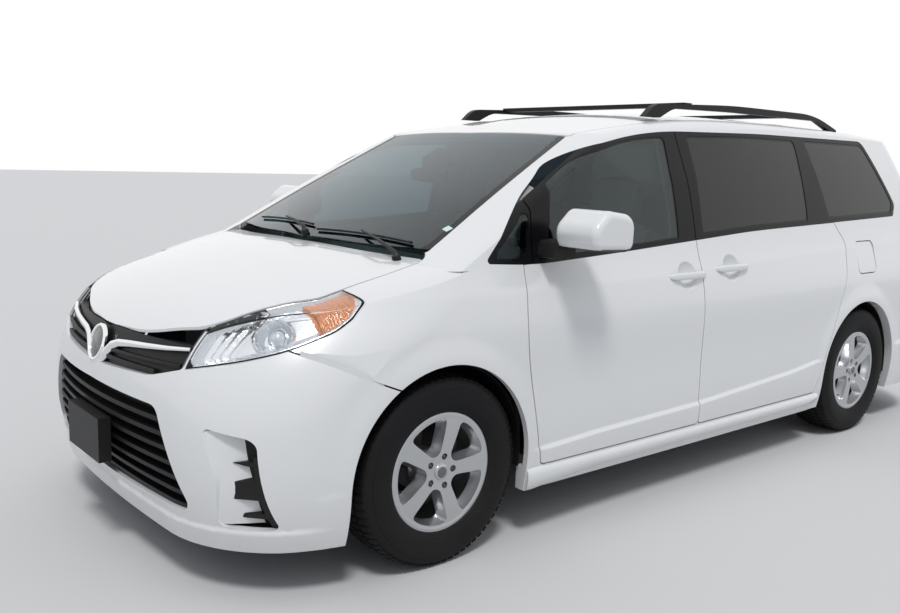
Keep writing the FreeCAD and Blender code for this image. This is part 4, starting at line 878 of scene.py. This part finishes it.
def wheel_parts():
    """a wheel about +Y at the origin: its face, its barrel and the brake disc behind"""
    barrel = turned([(0.0985, 0.2215), (0.097, 0.2235), (0.09, 0.2235), (0.075, 0.214), (-0.08, 0.214),
                     (-0.092, 0.2235), (-0.098, 0.2235), (-0.098, 0.2185), (-0.088, 0.208), (0.055, 0.203),
                     (0.085, 0.204), (0.0985, 0.2215)], (0, 0, 0), (0, 1, 0), 96)
    disc = turned([(0.045, 0.0), (0.045, 0.075), (0.03, 0.08), (0.0, 0.08), (0.0, 0.0)],
                  (0, 0, 0), (0, 1, 0), 48)
    return joined([wheel_face(), barrel, disc])


def nut():
    """a wheel nut at angle nought"""
    rings = []
    for along, radius in ((0.072, 0.0078), (0.086, 0.0078), (0.089, 0.0066), (0.0905, 0.004)):
        rings.append([(radius * math.cos(math.pi * k / 3), along, radius * math.sin(math.pi * k / 3))
                      for k in range(6)])
    return lofted(rings)


def tyre_form():
    """the tyre's carcass about +Y with rings on its sidewalls and grooves round its tread"""
    half = [(0.098, 0.2235), (0.104, 0.228), (0.1065, 0.236), (0.1085, 0.238), (0.1125, 0.252),
            (0.1140, 0.253), (0.1155, 0.266), (0.1172, 0.280), (0.1166, 0.296), (0.1158, 0.297),
            (0.1140, 0.312), (0.1115, 0.3135), (0.1075, 0.328), (0.1020, 0.338), (0.0950, 0.346),
            (0.0880, 0.3495), (0.0860, 0.3500)]
    tread = [(0.058, 0.3515), (0.056, 0.3455), (0.046, 0.3455), (0.044, 0.3515), (0.010, 0.3520),
             (0.008, 0.3455)]
    outer = half + tread
    profile = outer + [(-y, r) for y, r in reversed(outer)]
    return turned(profile + [profile[0]], (0, 0, 0), (0, 1, 0), 84)


def tread_unit():
    """one step of tread: shoulder, rib and centre blocks, standing off the carcass at the end of +X"""
    blocks = []
    for y0, y1, shift, span in ((-0.1005, -0.060, 0.0, 0.0105), (-0.043, -0.011, 0.007, 0.0115),
                                (-0.007, 0.007, 0.0, 0.0115), (0.011, 0.043, -0.007, 0.0115),
                                (0.060, 0.1005, 0.0, 0.0105)):
        low = 0.344 - TREAD_RING
        high = [0.0562 if abs(y) < 0.09 else 0.0482 for y in (y0, y1)]
        rings = []
        for z in (shift - span, shift + span):
            skew = 0.006 * (1 if y0 > 0 else -1)
            rings.append([(low, y0, z), (low, y1, z + skew), (high[1], y1, z + skew), (high[0], y0, z)])
        blocks.append(lofted(rings))
    return joined(blocks)


def build_wheels():
    """wheels with nuts, caps and valves, and tyres with their tread"""
    look = bpy.context.scene.minivan_wheels
    silver, rubber, dark = finish("wheel_silver_paint"), finish("tyre_rubber"), finish("wheel_nut_steel")
    wheel = wheel_parts()
    nuts = repeated("wheel_nuts", nut(), POCKETS, LUG_CIRCLE, dark)
    lugs = repeated("tread_blocks", tread_unit(), look.lugs, TREAD_RING, rubber)
    tyre = tyre_form()
    cap = turned([(0.0997, 0.0), (0.0993, 0.018), (0.0975, 0.026)], (0, 0, 0), (0, 1, 0), 32)
    valve = swept([(0.19, 0.080, 0.03), (0.182, 0.098, 0.029)], [0.004, 0.003], [0.004, 0.003], sides=8)
    for end, x in (("front", FRONT_AXLE), ("rear", REAR_AXLE)):
        for side, hand in (("left", 1), ("right", -1)):
            at = (x, hand * WHEEL_Y, AXLE_Z, hand, WHEEL_TURN[end])
            body = f"wheel_{end}_{side}_body"
            where = f"{end}_{side}"
            piece = shaped("wheel_face_" + where, placed(wheel, *at), silver, body, 28)
            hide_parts("wheel_" + where)
            shaped("wheel_nuts_" + where, placed(nuts, *at[:4], at[4] - SPOKE_TURN), dark, body)
            shaped("wheel_cap_" + where, placed(cap, *at), finish("wheel_cap_grey"), body)
            shaped("wheel_valve_" + where, placed(valve, *at), finish("trim_black_plastic"), body)
            both = joined([placed(tyre, *at), placed(lugs, *at)])
            piece = shaped("tyre_" + where + "_rubber", both, rubber, body, 24)
            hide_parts("tyre_" + where)


# Front
# The bright wing of the grille from its middle outwards: y, z, half its height
WING = [(0.0, 0.700, 0.008), (0.03, 0.702, 0.011), (0.062, 0.716, 0.014), (0.09, 0.745, 0.017),
        (0.125, 0.775, 0.017), (0.17, 0.790, 0.015), (0.25, 0.799, 0.013), (0.36, 0.808, 0.011),
        (0.47, 0.817, 0.009), (0.572, 0.826, 0.007)]


def facing_back(surface, y, z):
    """the x of the foremost point of a surface at a y and z"""
    return landing(surface, (2.8, y, z), (-1, 0, 0)).x


def build_front():
    """the grille's bright wing, dark bars and plain disc, then the lamps and the fog scoops"""
    chrome, black = finish("bright_chrome"), finish("grille_gloss_black")
    grille = shell("grilles")

    def ahead(y, z, off):
        return Vector((facing_back(grille, y, z) + off, y, z))

    half = [ahead(y, z, 0.016) for y, z, _ in WING]
    path = [Vector((q.x, -q.y, q.z)) for q in half[:0:-1]] + half
    size = [h for _, _, h in WING[:0:-1]] + [h for _, _, h in WING]
    shaped("grille_wing", swept(path, 0.010, size, sides=16, flatness=0.8), chrome, "body")
    bars = []
    for z0, z1, reach in ((0.755, 0.770, 0.56), (0.730, 0.738, 0.44)):
        ys = np.linspace(0.10, reach, 9)
        line = [ahead(y, z0 + (z1 - z0) * y / 0.56, 0.012) for y in ys]
        bars.append(swept(line, 0.007, 0.008))
    shaped("grille_bars", pair(joined(bars)), black, "body")
    centre = ahead(0.0, 0.765, 0.016)
    axis = (0.955, 0, 0.297)
    section = [(0.0, 0.071), (0.008, 0.071), (0.013, 0.067), (0.013, 0.061), (0.008, 0.058), (0.0, 0.058)]
    ring = turned(section, centre, axis, 64)
    shaped("grille_disc_ring", ring, chrome, "body")
    disc = turned([(0.0, 0.062), (0.007, 0.059), (0.010, 0.045), (0.011, 0.0)], centre, axis, 64)
    shaped("grille_disc", disc, finish("grille_disc_grey"), "body")
    build_lamps()
    build_fog()


# Lamps: the bowl's middle, the way that it looks, its radius, and where the amber end starts
LAMP_BOWL = (2.178, 0.769, 0.890)
LAMP_AXIS = (0.74, 0.48, 0.47)
LENS_FACING = (0.5, 0.6, 0.55)
BOWL = 0.058
AMBER_X = 2.040
LAMP_GRID = 0.007


def build_lamps():
    """reflectors behind the headlamp lenses: flutes, a round bowl with a ball lens, and an amber outer end"""
    tri = triangles("headlamp_lenses")
    way = np.tile(LENS_FACING, (len(tri), 1))
    way[:, 1] *= side_of(tri[:, :, :3].mean(1))
    tri = tri[(tri[:, :, 3:].mean(1) * way).sum(1) < -0.45]
    tri = gridded(tri, 0, 1.88, 2.5, LAMP_GRID)
    tri = gridded(tri, 1, -0.9, 0.9, LAMP_GRID)
    tri = parted(tri, lambda q: q[:, :, 0] - AMBER_X)
    p, n = tri[:, :, :3], tri[:, :, 3:]
    y = np.abs(p[..., 1])
    mirrored = p * np.stack([np.ones_like(y), side_of(p), np.ones_like(y)], -1)
    off = mirrored - np.array(LAMP_BOWL)
    axis = np.array(LAMP_AXIS) / np.linalg.norm(LAMP_AXIS)
    r = np.linalg.norm(off - (off @ axis)[..., None] * axis, axis=-1)
    flute = np.abs((y * 38) % 1 - 0.5) * 2
    inner = eased((0.715 - y) / 0.02)
    depth = 0.024 + 0.010 * inner * flute
    depth = depth + 0.040 * np.clip(1 - (r / BOWL) ** 2, 0, 1)
    depth = depth - 0.016 * np.exp(-(((r - 0.062) / 0.006) ** 2))
    amber = eased((AMBER_X - p[..., 0]) / 0.004)
    depth = depth * (1 - amber) + amber * (0.010 + 0.0025 * np.abs((p[..., 0] * 90) % 1 - 0.5))
    places = (p + n * depth[..., None]).reshape(-1, 3)
    part = [tuple(q) for q in places], [(3 * i, 3 * i + 2, 3 * i + 1) for i in range(len(tri))]
    item = shaped("headlamp_reflectors", part, finish("headlamp_bowl_chrome"), "body", 50)
    item.data.materials.append(finish("turn_lamp_amber"))
    for face in item.data.polygons:
        face.material_index = int(face.center.x < AMBER_X)
    centre = Vector(LAMP_BOWL) - Vector(axis) * 0.050
    dome = [(0.030 * math.sin(a), 0.030 * math.cos(a)) for a in np.linspace(0, math.pi / 2, 9)]
    ball = turned([(-0.01, 0.036), (0.006, 0.036), (0.008, 0.031), (0.0, 0.030)] + dome, centre, axis, 40)
    shaped("headlamp_ball_lenses", pair(ball), finish("headlamp_ball_lens"), "body", 50)


# Fog scoops: the floor's and the strip's top and bottom, and each fin's z, inner y, depth and half height
FLOOR_TOP, FLOOR_FOOT = 0.59, 0.275
STRIP_TOP, STRIP_FOOT = 0.515, 0.268
FINS = [(0.488, 0.786, 0.042, 0.013), (0.402, 0.756, 0.047, 0.046), (0.308, 0.738, 0.042, 0.013)]
THIN_FIN = 0.02


def build_fog():
    """the scoops' slanted floors, the black outer strips with three fins each, and the seams' backing"""
    skin = shell("front_bumper")
    rows = []
    for z in np.linspace(FLOOR_TOP, FLOOR_FOOT, 15):
        t = (FLOOR_TOP - z) / (FLOOR_TOP - FLOOR_FOOT)
        left = 0.722 + 0.036 * min(1, t * 1.6)
        right = 0.862 + 0.030 * t
        x_left = facing_back(skin, left - 0.012, z) - 0.004
        x_right = facing_back(skin, right + 0.012, z)
        row = []
        for u in np.arange(9) / 8:
            y = left - 0.006 + u * (right - left + 0.004)
            front = x_left + (x_right - x_left) * u
            row.append((front - 0.056 * float(eased(u * 1.1)) - 0.003, y, z))
        rows.append(row)
    paint = finish("body_white_paint")
    shaped("fog_scoop_floors", pair(sheet(rows)), paint, "body", 60)
    strip = []
    for z in np.linspace(STRIP_TOP, STRIP_FOOT, 12):
        t = (STRIP_TOP - z) / (STRIP_TOP - STRIP_FOOT)
        y = 0.866 + 0.024 * t
        x = facing_back(skin, y + 0.012, z) + 0.004
        wide = 0.019 + 0.014 * t
        strip.append([(x - 0.052, y - wide, z), (x + 0.002 + wide * 0.7, y - wide, z),
                      (x - 0.001, y + 0.004, z), (x - 0.052, y + 0.004, z)])
    fins = []
    for z, y0, deep, high in FINS:
        ring = []
        for u in np.linspace(0, 1, 7):
            y = y0 + u * (0.878 - y0)
            x = facing_back(skin, 0.897, z) + (0.897 - y) * 0.88 - 0.012
            h = high * (0.12 + 0.88 * float(eased(u * (2.2 if high < THIN_FIN else 8))))
            ring.append([(x - deep, y, z - h), (x, y, z - h * 0.8), (x, y, z + h * 0.5),
                         (x - deep, y, z + h)])
        fins.append(lofted(ring))
    for side, way in (("left", 1), ("right", -1)):
        band = []
        for x in np.linspace(1.87, 2.13, 12):
            z = float(followed(x, BUMPER_SEAM))
            y = abs(landing(skin, (x, way * 1.3, z - 0.014), (0, -way, 0)).y) - 0.004
            band.append([(x, way * y, z - 0.012), (x, way * (y - 0.001), z - 0.012),
                         (x, way * (y - 0.001), z + 0.012), (x, way * y, z + 0.012)])
        shaped("fender_seam_backing_" + side, lofted(band), paint, "body", 30)
    black = finish("trim_black_plastic")
    shaped("fog_scoop_fins", pair(joined([lofted(strip)] + fins)), black, "body", 30, 0.002)


# Sides
def build_sides():
    """the side skirts and door handles, and the mirrors' glass and black feet"""
    paint, black = finish("body_white_paint"), finish("trim_black_plastic")
    skin = shell("door_front_left", "slide_doors", "body_sides", "fenders")
    rings = []
    for x in (*np.linspace(1.186, 1.0, 7), *np.linspace(0.9, -0.9, 19), *np.linspace(-0.93, -1.0, 3)):
        low = float(np.interp(x, [-1.0, -0.9, 0.8, 1.05, 1.19], [0.245, 0.236, 0.230, 0.214, 0.204]))
        top = 0.2985
        out = 0.990 + 0.010 * float(eased((x + 1.02) / 0.1) * eased((1.2 - x) / 0.03))
        rings.append([(x, 0.925, top), (x, out - 0.022, top), (x, out - 0.006, top - 0.008),
                      (x, out, top - 0.022), (x, out + 0.002, (low + top) / 2), (x, out - 0.004, low + 0.010),
                      (x, out - 0.018, low), (x, 0.925, low)])
    shaped("side_skirts", pair(lofted(rings)), paint, "body", 50)

    def handle(x0, x1, z):
        ends = [landing(skin, (x, 1.4, z), (0, -1, 0)).y for x in (x0, x1)]
        path, wide, high = [], [], []
        for t in np.linspace(0, 1, 21):
            out = 0.027 * (math.sin(math.pi * t) ** 0.45 if 0 < t < 1 else 0)
            path.append((x0 + (x1 - x0) * t, ends[0] + (ends[1] - ends[0]) * t + out - 0.001,
                         z + 0.002 * math.sin(math.pi * t)))
            full = 0.55 + 0.45 * eased(min(t, 1 - t) / 0.16)
            wide.append(0.0085 * float(full))
            high.append(0.0165 * float(full))
        return swept(path, wide, high, sides=16, flatness=0.75)

    front = handle(0.335, 0.066, 0.996)
    shaped("door_handle_left", front, paint, "left_door", 60)
    shaped("door_handle_right", flipped(front), paint, "right_door", 60)
    shaped("slide_door_handles", pair(handle(-0.018, -0.282, 1.013)), paint, "body", 60)

    mirror = finish("mirror_glass")
    for name in ("mirror_left", "mirror_right"):
        data = NODES[name].data
        data.materials.append(black)
        data.materials.append(mirror)
        for face in data.polygons:
            c, n = face.center, face.normal
            if abs(c.y) < 1.005 or c.z < 1.166:
                face.material_index = 1
            elif n.x < -0.9 and 1.03 < abs(c.y) < 1.20:
                face.material_index = 2


# Screen and roof
def build_screen():
    """the wipers, and what is fixed inside the windshield"""
    black = finish("trim_black_plastic")
    screen = shell("windshield", "cowl_panel", "hood", "body_sides")

    def on_screen(x, y, off=0.012):
        q = landing(screen, (x, y, 2.2), (0, 0, -1))
        return Vector((x, y, q.z + off))

    parts = []
    for start, end in (((1.512, 0.640), (1.572, 0.060)), ((1.545, -0.020), (1.497, -0.560))):
        blade = [on_screen(start[0] + (end[0] - start[0]) * t, start[1] + (end[1] - start[1]) * t, 0.010)
                 for t in np.linspace(0, 1, 15)]
        parts.append(swept(blade, 0.006, 0.005, sides=8))
        pivot = on_screen(1.598, start[1] + 0.02, 0.008)
        middle = blade[7] + Vector((0, 0, 0.012))
        arm = [pivot, pivot + Vector((-0.01, -0.03 * (1 if start[1] > end[1] else -1), 0.022)),
               (pivot + middle) / 2 + Vector((0.01, 0, 0.02)), middle]
        parts.append(swept(arm, [0.012, 0.010, 0.008, 0.005], [0.006, 0.005, 0.004, 0.004], sides=10))
        parts.append(turned([(-0.02, 0.017), (0.006, 0.017), (0.012, 0.012), (0.013, 0.0)],
                            pivot, (0.4, 0, 0.9), 20))
    shaped("windshield_wipers", joined(parts), black, "body", 40)
    corner = [(1.392, 0.672), (1.366, 0.680), (1.372, 0.715), (1.398, 0.706)]
    label = [on_screen(x, y, 0.0012) for x, y in corner]
    shaped("screen_label", (label, [(0, 1, 2, 3)]), finish("screen_label_pale"), "body")
    inside = [on_screen(x, y, -0.02) for x, y in ((0.80, 0.10), (0.80, -0.10), (0.90, -0.10), (0.90, 0.10))]
    low = [q + Vector((0, 0, -0.05)) for q in inside]
    shaped("sensor_housing", lofted([inside, low]), black, "body", 30, 0.006)
    line = [(0.93, 0.13, 1.40), (0.94, 0.05, 1.40), (0.94, -0.05, 1.40), (0.93, -0.13, 1.40)]
    casing = swept(line, [0.008, 0.016, 0.016, 0.008], [0.024, 0.034, 0.034, 0.024])
    shaped("inner_mirror", casing, black, "body", 40)


# Rear
def build_rear():
    """the liftgate's bar, plate frame, wiper and spoiler, and the rear lamps' and bumper's trim"""
    black, paint, chrome = finish("trim_black_plastic"), finish("body_white_paint"), finish("bright_chrome")
    gate = shell("liftgate", "liftgate_glass")
    bumper = shell("rear_bumper")

    def behind(surface, y, z, off):
        q = landing(surface, (-2.9, y, z), (1, 0, 0))
        return Vector((q.x - off, y, z))

    ys = np.linspace(-0.30, 0.30, 13)
    bar = swept([behind(gate, y, 1.045, 0.010) for y in ys], 0.014, 0.018)
    shaped("liftgate_bar", bar, chrome, "tailgate", 40)
    frame_parts = []
    for z in (0.995, 0.815):
        line = [behind(gate, y, z, 0.004) for y in np.linspace(-0.2, 0.2, 9)]
        frame_parts.append(swept(line, 0.006, 0.006))
    for y in (-0.2, 0.2):
        line = [behind(gate, y, z, 0.004) for z in np.linspace(0.815, 0.995, 5)]
        frame_parts.append(swept(line, 0.006, 0.006, up=(0, 1, 0)))
    shaped("rear_plate_frame", joined(frame_parts), black, "tailgate", 40)
    plate = [behind(gate, y, z, 0.006) for y, z in ((-0.16, 0.83), (0.16, 0.83), (0.16, 0.98), (-0.16, 0.98))]
    shaped("rear_plate_blank", (plate, [(0, 1, 2, 3)]), finish("blank_plate"), "tailgate")
    pivot = behind(gate, 0.0, 1.225, 0.012)
    tip = behind(gate, 0.33, 1.262, 0.016)
    arm = [pivot, (pivot + tip) / 2 + Vector((-0.012, 0, 0)), tip]
    blade = [behind(gate, y, 1.268, 0.010) for y in np.linspace(0.10, 0.52, 12)]
    parts = [swept(arm, [0.008, 0.006, 0.005], [0.010, 0.008, 0.006]),
             swept(blade, 0.005, 0.006),
             turned([(-0.012, 0.022), (0.012, 0.020), (0.016, 0.012), (0.016, 0.0)], pivot, (-1, 0, 0.2), 24)]
    shaped("liftgate_wiper", joined(parts), black, "tailgate", 40)
    lip = []
    for y in np.linspace(-0.58, 0.58, 25):
        q = behind(gate, y, 1.655, 0.0)
        swell = float(eased((0.60 - abs(y)) / 0.08))
        lip.append([(q.x + 0.03, y, q.z + 0.018), (q.x - 0.035 * swell, y, q.z - 0.004),
                    (q.x - 0.045 * swell, y, q.z - 0.016), (q.x + 0.012, y, q.z - 0.028)])
    shaped("liftgate_spoiler", lofted(lip), paint, "tailgate", 50)
    ends = []
    for y in (0.60, 0.75):
        low, high = (behind(bumper, y, z, 0.002) for z in (0.43, 0.43 + 0.045))
        ends.append([low, high, high + Vector((0.01, 0, 0)), low + Vector((0.01, 0, 0))])
    shaped("rear_reflectors", pair(lofted(ends)), finish("tail_lamp_red"), "body", 30)
    line = [behind(bumper, y, 0.300, 0.003) for y in np.linspace(-0.72, 0.72, 21)]
    shaped("rear_bumper_valance", swept(line, 0.008, 0.03), black, "body", 40)
    ribs = []
    lamps = shell("tail_lamps")
    for z in np.linspace(0.89, 1.17, 11):
        row = []
        for turn in np.linspace(0.1, 1.3, 15):
            way = Vector((math.cos(turn), -math.sin(turn), 0))
            hit = lamps.ray_cast(Vector((-2.19, 0.70, z)) - way * 0.9, way)[0]
            if hit is not None:
                row.append(hit - way * 0.0015)
        if len(row) > 2:
            ribs.append(swept(row, 0.003, 0.004, sides=8))
    shaped("tail_lamp_ribs", pair(joined(ribs)), finish("tail_lamp_red"), "body", 50)


# Cabin
# Each seat: name, x and y where its back starts, width, floor under it, cushion's foot above the floor
SEATS = [
    ("driver_seat", 0.25, 0.40, 0.52, 0.330, 0.19),
    ("passenger_seat", 0.25, -0.40, 0.52, 0.330, 0.19),
    ("second_row_left", -0.70, 0.42, 0.52, 0.330, 0.19),
    ("second_row_right", -0.70, -0.42, 0.52, 0.330, 0.19),
    ("third_row", -1.58, 0.0, 1.08, 0.500, 0.09),
]
BACK_LEAN = math.radians(-14)
SEAT_TILT = math.radians(-2)


def cushion(size, channels, across=None, soft=0.32, steps=(46, 34)):
    """a crowned, closed cushion about the origin with sewn grooves; channels are at shares of its width"""
    sx, sy, sz = (v / 2 for v in size)
    places = []
    nu, nv = steps
    for i in range(nu + 1):
        a = math.pi * (i / nu - 0.5)
        for k in range(nv * 2):
            b = math.pi * k / nv
            cu, su = math.cos(a), math.sin(a)
            ring = math.copysign(abs(cu) ** soft, cu)
            x = math.copysign(abs(math.cos(b)) ** soft, math.cos(b)) * ring
            y = math.copysign(abs(math.sin(b)) ** soft, math.sin(b)) * ring
            z = math.copysign(abs(su) ** (soft * 1.5), su)
            places.append([x, y, z])
    n = nv * 2
    faces = [(i * n + k, i * n + (k + 1) % n, (i + 1) * n + (k + 1) % n, (i + 1) * n + k)
             for i in range(nu) for k in range(n)]
    p = np.array(places)
    crown = (1 - p[:, 0] ** 2 * 0.5) * (1 - p[:, 1] ** 2 * 0.35)
    groove = np.zeros(len(p))
    for share in channels:
        groove += np.exp(-(((p[:, 1] - share) * sy / 0.006) ** 2)) * (np.abs(p[:, 0]) < 0.86)
    for share in across or ():
        inner = max([abs(c) for c in channels] + [0.8])
        groove += np.exp(-(((p[:, 0] - share) * sx / 0.006) ** 2)) * (np.abs(p[:, 1]) < inner)
    top = np.clip(p[:, 2], 0, 1) ** 0.5
    height = p[:, 2] * sz * (0.80 + 0.20 * crown) - top * 0.010 * np.clip(groove, 0, 1)
    bolster = np.exp(-(((np.abs(p[:, 1]) - 0.82) / 0.13) ** 2)) * top * 0.022
    height = height + bolster * (sy > 0.15)
    return [tuple(q) for q in np.stack([p[:, 0] * sx, p[:, 1] * sy, height], -1)], faces


def laid(part, matrix):
    """a form put in its place"""
    return [tuple(matrix @ Vector(q)) for q in part[0]], part[1]


def build_cabin():
    """the seats with their headrests, and the dashboard's hood, vents and screen"""
    cloth = finish("seat_cloth_beige")
    plastic = finish("dashboard_soft_plastic")
    chrome = finish("bright_chrome")
    upright = Matrix.Rotation(math.radians(90), 4, "Y")
    about = Matrix.Rotation(math.radians(180), 4, "Z")
    for name, x, y, width, floor, lift in SEATS:
        base = floor + lift
        wide = width + 0.024
        marks = [-0.62, 0.62] if width < 1 else [-0.66, -0.34, 0.0, 0.34, 0.66]
        tilt = Euler((0, SEAT_TILT, 0)).to_matrix().to_4x4()
        tilt = Matrix.Translation((x + 0.225, y, base + 0.085)) @ tilt
        seat = laid(cushion((0.53, wide, 0.20), marks, [-0.25, 0.25, 0.6]), tilt)
        item = shaped(name + "_cushion", seat, cloth, "body", 60)
        lean = Matrix.Translation((x + 0.03, y, base + 0.06)) @ Matrix.Rotation(BACK_LEAN, 4, "Y")
        back = laid(cushion((0.68, wide, 0.19), marks, [-0.5, -0.1, 0.3]),
                    lean @ Matrix.Translation((-0.055, 0, 0.31)) @ upright @ about)
        item = shaped(name + "_back", back, cloth, "body", 60)
        heads = []
        posts = []
        for share in ((-0.3, 0.3) if width > 1 else (0.0,)):
            heads.append(laid(cushion((0.215, 0.285, 0.115), [0.0], None, 0.45, (24, 20)),
                              lean @ Matrix.Translation((-0.042, share * width, 0.745)) @ upright @ about))
            for dy in (-0.045, 0.045):
                line = [lean @ Vector((-0.05, share * width + dy, z)) for z in (0.60, 0.68)]
                posts.append(swept(line, 0.007, 0.007, up=(1, 0, 0), sides=10))
        item = shaped(name + "_headrest", joined(heads), cloth, "body", 60)
        shaped(name + "_headrest_posts", joined(posts), chrome, "body", 60)
    hood_top = []
    for t in np.linspace(0, 1, 9):
        y = 0.18 + 0.44 * t
        hood_top.append([(0.99, y, 1.02), (0.80, y, 1.02), (0.775, y, 1.045 + 0.035 * math.sin(math.pi * t)),
                         (0.82, y, 1.065 + 0.045 * math.sin(math.pi * t)), (0.96, y, 1.06)])
    shaped("gauge_hood", lofted(hood_top), plastic, "body", 50)
    vents = []
    for y in (-0.66, -0.10, 0.10, 0.70):
        for k in range(4):
            vents.append(block((0.762, y - 0.05, 0.93 + 0.013 * k), (0.790, y + 0.05, 0.9335 + 0.013 * k)))
    shaped("dash_vents", joined(vents), finish("trim_black_plastic"), "body", 30)
    screen = block((0.768, -0.11, 0.80), (0.785, 0.11, 0.91))
    shaped("dash_screen", screen, finish("glass_border_print"), "body", 30, 0.004)


def length(name, description, default):
    return bpy.props.FloatProperty(name=name, description=description, default=default, unit="LENGTH")


class MinivanPanels(bpy.types.PropertyGroup):
    shoulder: length("Shoulder", "Height of the crease through the door handles", 0.006)
    hollow: length("Hollow", "Depth of the doors' hollow below the shoulder", 0.005)
    ledge: length("Ledge", "How far the ledge above the door bottoms stands out", 0.013)
    flare: length("Flare", "How far the wheel arches stand out", 0.010)
    dish: length("Handle dish", "Depth of the dishes behind the handles", 0.026)
    chin: length("Chin", "How far the front bumper's lower lip stands out", 0.010)


class MinivanWheels(bpy.types.PropertyGroup):
    lugs: bpy.props.IntProperty(
        name="Tread steps", description="Steps of tread blocks round a tyre", default=72, min=24)


class MinivanStage(bpy.types.PropertyGroup):
    sky: bpy.props.FloatProperty(name="Sky", description="Strength of the sky's light", default=0.70)
    sun: bpy.props.FloatProperty(name="Sun", description="Strength of the sun", default=1.5)
    softness: bpy.props.FloatProperty(
        name="Softness", description="Angle of the sun in degrees", default=12.0)


class MINIVAN_OT_panels(bpy.types.Operator):
    """Build the painted panels with their creases, flares and handle dishes"""

    bl_idname = "minivan.panels"
    bl_label = "Body panels"

    def execute(self, context):
        build_panels()
        dress_nodes()
        return {"FINISHED"}


class MINIVAN_OT_glass(bpy.types.Operator):
    """Build the panes with their printed borders"""

    bl_idname = "minivan.glass"
    bl_label = "Glass"

    def execute(self, context):
        build_glass()
        return {"FINISHED"}


class MINIVAN_OT_wheels(bpy.types.Operator):
    """Build the wheels with their nuts, caps and valves, and the tyres with their tread"""

    bl_idname = "minivan.wheels"
    bl_label = "Wheels and tyres"

    def execute(self, context):
        build_wheels()
        return {"FINISHED"}


class MINIVAN_OT_front(bpy.types.Operator):
    """Build the grille's wing and disc, what is behind the lamp lenses, and the fog scoops"""

    bl_idname = "minivan.front"
    bl_label = "Grille, lamps and scoops"

    def execute(self, context):
        build_front()
        return {"FINISHED"}


class MINIVAN_OT_sides(bpy.types.Operator):
    """Build the skirts and handles and dress the mirrors"""

    bl_idname = "minivan.sides"
    bl_label = "Skirts, handles and mirrors"

    def execute(self, context):
        build_sides()
        build_screen()
        return {"FINISHED"}


class MINIVAN_OT_rear(bpy.types.Operator):
    """Build the liftgate's fittings and the rear bumper's trim"""

    bl_idname = "minivan.rear"
    bl_label = "Rear fittings"

    def execute(self, context):
        build_rear()
        return {"FINISHED"}


class MINIVAN_OT_cabin(bpy.types.Operator):
    """Build the seats' cushions and the dashboard's fittings"""

    bl_idname = "minivan.cabin"
    bl_label = "Cabin"

    def execute(self, context):
        build_cabin()
        return {"FINISHED"}


class MINIVAN_OT_stage(bpy.types.Operator):
    """Set the floor, the light and the camera"""

    bl_idname = "minivan.stage"
    bl_label = "Stage"

    def execute(self, context):
        build_stage()
        return {"FINISHED"}


class MINIVAN_PT_sidebar(bpy.types.Panel):
    bl_label = "Minivan"
    bl_space_type = "VIEW_3D"
    bl_region_type = "UI"
    bl_category = "Minivan"

    def draw(self, context):
        column = self.layout.column()
        for settings, operator in ((context.scene.minivan_panels, "minivan.panels"),
                                   (None, "minivan.glass"),
                                   (context.scene.minivan_wheels, "minivan.wheels"),
                                   (None, "minivan.front"),
                                   (None, "minivan.sides"),
                                   (None, "minivan.rear"),
                                   (None, "minivan.cabin"),
                                   (context.scene.minivan_stage, "minivan.stage")):
            if settings:
                for name in settings.bl_rna.properties.keys():
                    if name not in ("rna_type", "name"):
                        column.prop(settings, name)
            column.operator(operator)


CLASSES = (MinivanPanels, MinivanWheels, MinivanStage, MINIVAN_OT_panels, MINIVAN_OT_glass,
           MINIVAN_OT_wheels, MINIVAN_OT_front, MINIVAN_OT_sides, MINIVAN_OT_rear, MINIVAN_OT_cabin,
           MINIVAN_OT_stage, MINIVAN_PT_sidebar)


def register():
    for cls in CLASSES:
        bpy.utils.register_class(cls)
    bpy.types.Scene.minivan_panels = bpy.props.PointerProperty(type=MinivanPanels)
    bpy.types.Scene.minivan_wheels = bpy.props.PointerProperty(type=MinivanWheels)
    bpy.types.Scene.minivan_stage = bpy.props.PointerProperty(type=MinivanStage)


def unregister():
    del bpy.types.Scene.minivan_stage
    del bpy.types.Scene.minivan_wheels
    del bpy.types.Scene.minivan_panels
    for cls in reversed(CLASSES):
        bpy.utils.unregister_class(cls)


def main():
    register()
    steps = bpy.ops.minivan
    for step in (steps.panels, steps.glass, steps.wheels, steps.front, steps.sides, steps.rear, steps.cabin,
                 steps.stage):
        step()


if __name__ == "__main__":
    main()
